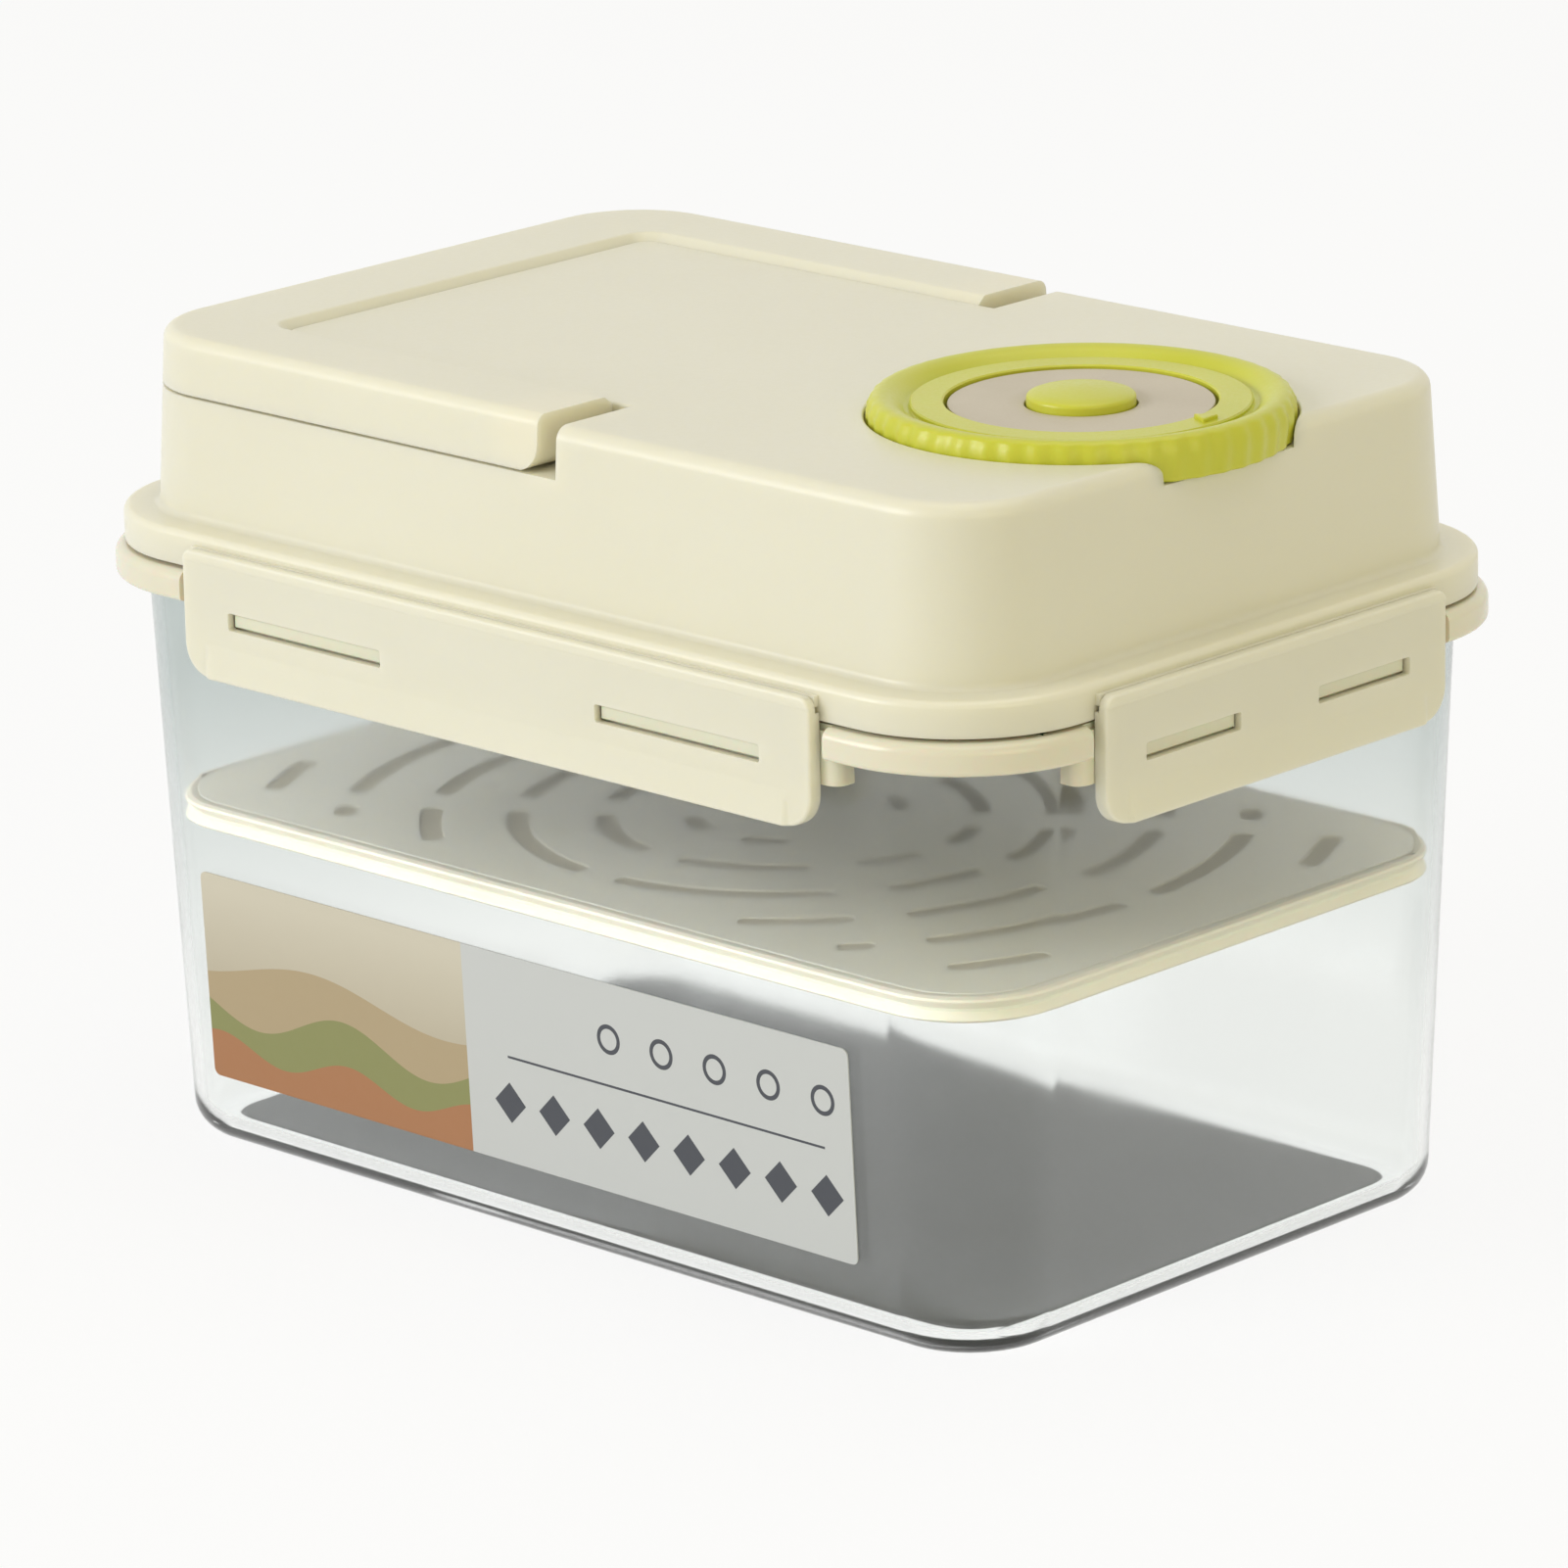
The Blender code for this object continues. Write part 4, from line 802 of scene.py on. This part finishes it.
def makeDateDisc(shape):
    bore, edge = shape["well"], shape["hub"] - breakEdge
    top, bottom = shape["discTop"], shape["discBottom"]
    profile = [(bore, bottom), (edge, bottom)] + [(edge + out, top + up) for out, up in shape["discEdge"]]
    profile += [(bore + out, top + up) for out, up in shape["discDish"]]
    return asObject(spunBody(profile, 144), "scaleDisc", dialPlace)


def makeButton(shape):
    radius, top = shape["button"], shape["buttonTop"]
    crown, r = shape["crown"], shape["buttonRound"]
    edge, inner, stem = top - crown, radius - shape["buttonWall"], shape["stemRadius"]
    roof = edge - shape["roofWall"]
    profile = [(0, shape["stemLow"]), (stem, shape["stemLow"]), (stem, roof), (inner, roof),
               (inner, shape["skirtLow"]), (radius, shape["skirtLow"]), (radius, edge - r)]
    profile += arcPoints(radius - r, edge - r, r, 0, 70, 5)[1:]
    profile += [(radius * share, top - crown * share * share) for share in shape["crownShares"]]
    profile.append((0, top))
    return asObject(spunBody(profile, 96, False), "pressButton", dialPlace)


finishPiece(makeDialRing(dialShape), "dial", "green", ["dial_ring"])
finishPiece(makeDateDisc(dialShape), "lid", "grey", ["date_disc"])
finishPiece(makeButton(dialShape), "button", "green", ["vent_button"])


# press plate and its wiper

plateShape = millimetres({
    "bottom": 66, "top": 71.5, "edge": 12.4, "thickness": 2.2, "rimRound": 1,
    "rimWall": 2.6, "edgeRound": 0.5, "firstRing": 19.5, "pitch": 17.3,
    "slotWidth": 4.4, "rib": 9, "margin": 10, "shortest": 5,
    "slotFacet": 2.5, "tongueReach": 0.7, "tongueHalf": 0.6,
}, rings=6, samples=160, slotEndRound=0.8)
wiperShape = millimetres({
    "reach": 9.8, "neck": 1.1, "grip": 1, "gripHalf": 0.9, "topGap": 0.2,
    "lowLip": ((0.25, 0.35), (0, 0.7), (0.1, 1.1)),
    "highLip": ((0.1, -1.1), (0, -0.7), (0.25, -0.3)),
})


def slotRuns(shape):
    # start and end angle of each arc slot, ring by ring, kept inside the plate's flat middle
    reachX = halfLength - shape["edge"] - shape["margin"]
    reachY = halfWidth - shape["edge"] - shape["margin"]
    diagonal = math.atan2(halfWidth, halfLength)
    spokes = [0, diagonal, math.pi / 2, math.pi - diagonal, math.pi, math.pi + diagonal,
              1.5 * math.pi, 2 * math.pi - diagonal, 2 * math.pi]
    runs = []
    for ring in range(shape["rings"]):
        radius = shape["firstRing"] + ring * shape["pitch"]
        for low, high in zip(spokes, spokes[1:]):
            margin = shape["rib"] / 2 / radius
            count = shape["samples"]
            angles = [low + margin + (high - low - 2 * margin) * i / count for i in range(count + 1)]
            angles = [a for a in angles
                      if abs(radius * math.cos(a)) < reachX and abs(radius * math.sin(a)) < reachY]
            if len(angles) > 1 and (angles[-1] - angles[0]) * radius > shape["shortest"]:
                runs.append((radius, angles[0], angles[-1]))
    return runs


def angleOf(vert):
    return math.atan2(vert.co.y, vert.co.x) % (2 * math.pi)


def slotCutters(shape):
    bm = bmesh.new()
    for radius, start, end in slotRuns(shape):
        old = set(bm.faces)
        half = shape["slotWidth"] / 2
        ends = [bm.verts.new((r * math.cos(start), r * math.sin(start), shape["bottom"] - spare))
                for r in (radius - half, radius + half)]
        edge = bm.edges.new(ends)
        bmesh.ops.spin(bm, geom=ends + [edge], cent=(0, 0, 0), axis=(0, 0, 1), angle=end - start,
                       steps=max(4, int((end - start) * radius / shape["slotFacet"])), dvec=(0, 0, 0))
        strip = [face for face in bm.faces if face not in old]
        face = bmesh.ops.dissolve_faces(bm, faces=strip)["region"][0]
        tips = [vert for vert in face.verts
                if any(abs(angleOf(vert) - angle % (2 * math.pi)) < sameAngle for angle in (start, end))]
        roundOff(bm, tips, half * shape["slotEndRound"], 5)
        face = [face for face in bm.faces if face not in old][0]
        raisedFace(bm, face, shape["top"] - shape["bottom"] + 2 * spare)
    return asObject(bm, "plateSlots")


def makePlate(shape):
    edge, top, bottom = shape["edge"], shape["top"], shape["bottom"]
    middle, r = (top + bottom) / 2, shape["edgeRound"]
    inner, under = edge + shape["rimWall"], top - shape["thickness"]
    tongue, half = edge - shape["tongueReach"], shape["tongueHalf"]
    levels = [(inner + shape["rimRound"], under), (inner + breakEdge, under - breakEdge),
              (inner, under - shape["rimRound"]), (inner, bottom + breakEdge), (inner - breakEdge, bottom),
              (edge + breakEdge, bottom), (edge, bottom + breakEdge), (edge, middle - half),
              (tongue, middle - breakEdge), (tongue, middle + breakEdge), (edge, middle + half),
              (edge, top - r)]
    levels += [(edge + r - a, top - r + b) for a, b in arcPoints(0, 0, r, 0, 90, 4)][1:]
    plate = asObject(wallBody(levels), "pressingPlate")
    return combineAll(plate, [(slotCutters(shape), "DIFFERENCE")])


def makeWiper(plate, shape):
    reach, seat = shape["reach"], plate["edge"] - breakEdge
    neck, grip = reach + shape["neck"], plate["edge"] - shape["grip"]
    middle, half = (plate["bottom"] + plate["top"]) / 2, shape["gripHalf"]
    low, high = plate["bottom"] + breakEdge, plate["top"] - shape["topGap"]
    levels = [(seat, low), (neck, low)] + [(reach + back, low + up) for back, up in shape["lowLip"]]
    levels += [(neck, middle - breakEdge), (neck, middle + breakEdge)]
    levels += [(reach + back, high + up) for back, up in shape["highLip"]]
    levels += [(neck, high), (seat, high), (seat, middle + half), (grip, middle + half / 2),
               (grip, middle - half / 2), (seat, middle - half)]
    return asObject(wallBody(levels, closed=True), "wiperLips")


finishPiece(makePlate(plateShape), "plate", "cream", ["press_plate"])
finishPiece(makeWiper(plateShape, wiperShape), "plate", "creamSilicone", ["plate_wiper"])


# label

labelShape = {
    "length": 176 * mm, "height": 43 * mm, "bottom": 15.5 * mm, "x": -5 * mm, "gap": 0.2 * mm,
    "thickness": 0.25 * mm, "corner": 1.5 * mm, "split": -19.3 * mm, "skyLevels": (34, 56),
    "sky": (0.60, 0.56, 0.46), "skyLow": (0.47, 0.42, 0.32), "pale": (0.56, 0.58, 0.59),
    "ink": (0.05, 0.055, 0.07), "roughness": 0.42, "gloss": (0.36, 0.48), "grain": (400, 2),
    "hills": ((40, 3.0, 0.085, 0.6, (0.42, 0.33, 0.20)), (31, 3.6, 0.13, 2.4, (0.24, 0.25, 0.09)),
              (23, 2.4, 0.17, 4.4, (0.38, 0.17, 0.07))),
    "lozenges": (-8, 76, 28, 12, 4.2), "rings": (20, 76, 47, 14, 2.6, 0.45),
    "rule": (-8, 76, 37.5, 0.25),
}


def makeLabel(shape):
    bm = bmesh.new()
    face = planFace(bm, shape["length"] / 2, shape["height"] / 2, shape["corner"], 0, 6)
    raisedFace(bm, face, shape["thickness"])
    stand = Matrix.Translation((shape["x"], 0, shape["bottom"] + shape["height"] / 2)) \
        @ Matrix.Rotation(math.pi / 2, 4, "X")
    bmesh.ops.transform(bm, matrix=stand, verts=bm.verts)
    for vert in bm.verts:
        vert.co.y += wallInset(vert.co.z) - halfWidth - shape["gap"]
    return asObject(bm, "wallLabel")


def maths(tree, operation, a, b=0.0):
    made = tree.nodes.new("ShaderNodeMath")
    made.operation = operation
    for socket, value in zip(made.inputs, (a, b)):
        if isinstance(value, bpy.types.NodeSocket):
            tree.links.new(value, socket)
        else:
            socket.default_value = value
    return made.outputs[0]


def within(tree, value, low, high):
    above, below = maths(tree, "GREATER_THAN", value, low), maths(tree, "LESS_THAN", value, high)
    return maths(tree, "MULTIPLY", above, below)


def labelFilm(shape):
    # tan hills on the left, a row of lozenges, a rule and rings on the pale right; all in millimetres
    made, tree, shader = newMaterial("labelFilm", shape["pale"], shape["roughness"])
    apart = tree.nodes.new("ShaderNodeSeparateXYZ")
    tree.links.new(objectCoordinates(tree, (1 / mm, 1 / mm, 1 / mm)), apart.inputs["Vector"])
    x, z = apart.outputs["X"], apart.outputs["Z"]
    rise = spread(tree, z, 0, 1, *shape["skyLevels"])
    picture = blendColours(tree, rise, shape["skyLow"], shape["sky"])
    for level, swing, pace, start, colour in shape["hills"]:
        wave = maths(tree, "SINE", maths(tree, "ADD", maths(tree, "MULTIPLY", x, pace), start))
        crest = maths(tree, "ADD", maths(tree, "MULTIPLY", wave, swing), level)
        picture = blendColours(tree, maths(tree, "LESS_THAN", z, crest), picture, colour)
    marks = []
    x0, x1, level, pitch, size = shape["lozenges"]
    along = maths(tree, "PINGPONG", maths(tree, "SUBTRACT", x, x0), pitch / 2)
    reach = maths(tree, "ADD", along, maths(tree, "ABSOLUTE", maths(tree, "SUBTRACT", z, level)))
    marks.append(maths(tree, "MULTIPLY", maths(tree, "LESS_THAN", reach, size),
                       within(tree, x, x0 - size, x1 + size)))
    x0, x1, level, pitch, radius, width = shape["rings"]
    along = maths(tree, "PINGPONG", maths(tree, "SUBTRACT", x, x0), pitch / 2)
    up = maths(tree, "SUBTRACT", z, level)
    squares = maths(tree, "MULTIPLY", along, along), maths(tree, "MULTIPLY", up, up)
    reach = maths(tree, "SQRT", maths(tree, "ADD", *squares))
    marks.append(maths(tree, "MULTIPLY", within(tree, reach, radius - width, radius + width),
                       within(tree, x, x0 - 2 * radius, x1 + 2 * radius)))
    x0, x1, level, width = shape["rule"]
    marks.append(maths(tree, "MULTIPLY", within(tree, z, level - width, level + width),
                       within(tree, x, x0, x1)))
    ink = maths(tree, "MAXIMUM", maths(tree, "MAXIMUM", marks[0], marks[1]), marks[2])
    right = maths(tree, "GREATER_THAN", x, shape["split"] / mm)
    colour = blendColours(tree, right, picture, blendColours(tree, ink, shape["pale"], shape["ink"]))
    tree.links.new(colour, shader.inputs["Base Color"])
    grain = noise(tree, objectCoordinates(tree), *shape["grain"])
    tree.links.new(spread(tree, grain, *shape["gloss"]), shader.inputs["Roughness"])
    return made


materials["label"] = labelFilm(labelShape)
finishPiece(makeLabel(labelShape), "box", "label", ["front_label"])


# CAD nodes that stay, with their finish

carriedOver = {"lid_gasket": "silicone", "button_spring": "steel", "valve_seat": "white",
               "valve_seal": "silicone", "stem_retainer": "white"}
for node, key in carriedOver.items():
    for slot in nodes[node].material_slots:
        slot.material = materials[key]
print("carried over:", len(carriedOver))


# floor, light and background

studio = {
    "key": {"place": (-1.5, -2.9, 1.25), "size": 1.8, "energy": 64, "colour": (0.96, 0.975, 1.0)},
    "fill": {"place": (2.6, -0.7, 0.9), "size": 1.6, "energy": 15, "colour": (1.0, 0.90, 0.52)},
    "top": {"place": (0.2, 0.4, 2.8), "size": 2.4, "energy": 24, "colour": (1.0, 0.965, 0.86)},
}
backdrop = {
    "light": (0.40, 0.383, 0.32),      # what the world gives as light
    "seen": (1, 1, 1),                  # and what it looks like
    "shine": 0.86,                      # share of the floor that shines white where it is seen
    # painted light and shade: seen through the box, the floor glows near-white by the middle and a darker
    # grey-blue farther out
    "near": (1.0, 1.0, 0.99), "far": (0.52, 0.58, 0.575),     # the floor seen through the box
    "nearRadius": 0.16, "farRadius": 0.42, "floorHalf": 8, "floorCells": 8,
    "floorSunk": 0.5 * mm, "floorColour": (0.9, 0.9, 0.9, 1),
}
lampAim = Vector((0, 0, 0.08))


def lightPath(tree, *names):
    path = tree.nodes.new("ShaderNodeLightPath")
    total = path.outputs[names[0]]
    for name in names[1:]:
        total = maths(tree, "MAXIMUM", total, path.outputs[name])
    return total


def makeFloor(settings):
    bm = bmesh.new()
    cells = settings["floorCells"]
    bmesh.ops.create_grid(bm, x_segments=cells, y_segments=cells, size=settings["floorHalf"])
    floor = asObject(bm, "studioFloor", Matrix.Translation((0, 0, -settings["floorSunk"])))
    made = bpy.data.materials.new("studioFloor")
    made.use_nodes = True
    tree = made.node_tree
    tree.nodes.clear()
    white = tree.nodes.new("ShaderNodeBsdfDiffuse")
    white.inputs["Color"].default_value = settings["floorColour"]
    glow = tree.nodes.new("ShaderNodeEmission")
    distance = tree.nodes.new("ShaderNodeVectorMath")
    distance.operation = "LENGTH"
    tree.links.new(objectCoordinates(tree), distance.inputs[0])
    # painted light and shade: the glow seen through the box turns from the near white to the darker far
    # grey-blue with distance from the middle
    paintedShadeShare = spread(tree, distance.outputs["Value"], 0, 1, settings["nearRadius"], settings["farRadius"])
    through = blendColours(tree, paintedShadeShare, settings["near"], settings["far"])
    colour = blendColours(tree, lightPath(tree, "Is Transmission Ray"), settings["seen"], through)
    tree.links.new(colour, glow.inputs["Color"])
    seen = lightPath(tree, "Is Camera Ray", "Is Glossy Ray", "Is Transmission Ray")
    mix = tree.nodes.new("ShaderNodeMixShader")
    tree.links.new(maths(tree, "MULTIPLY", seen, settings["shine"]), mix.inputs[0])
    tree.links.new(white.outputs[0], mix.inputs[1])
    tree.links.new(glow.outputs[0], mix.inputs[2])
    out = tree.nodes.new("ShaderNodeOutputMaterial")
    tree.links.new(mix.outputs[0], out.inputs["Surface"])
    floor.data.materials.append(made)


def makeWorld(settings):
    world = bpy.data.worlds.new("studioWorld")
    bpy.context.scene.world = world
    world.use_nodes = True
    tree = world.node_tree
    seen = lightPath(tree, "Is Camera Ray", "Is Glossy Ray", "Is Transmission Ray")
    colour = blendColours(tree, seen, settings["light"], settings["seen"])
    tree.links.new(colour, tree.nodes["Background"].inputs["Color"])


def makeLamp(name, settings):
    data = bpy.data.lights.new(name, "AREA")
    data.size = settings["size"]
    data.energy = settings["energy"]
    data.color = settings["colour"]
    lamp = bpy.data.objects.new(name, data)
    lamp.location = settings["place"]
    lamp.rotation_euler = (lampAim - lamp.location).to_track_quat("-Z", "Y").to_euler()
    bpy.context.scene.collection.objects.link(lamp)


makeFloor(backdrop)
makeWorld(backdrop)
for lampName, lampSettings in studio.items():
    makeLamp(lampName, lampSettings)
placeCamera(cameraSettings)
bpy.context.scene.view_settings.view_transform = "Standard"
print("studio ready")
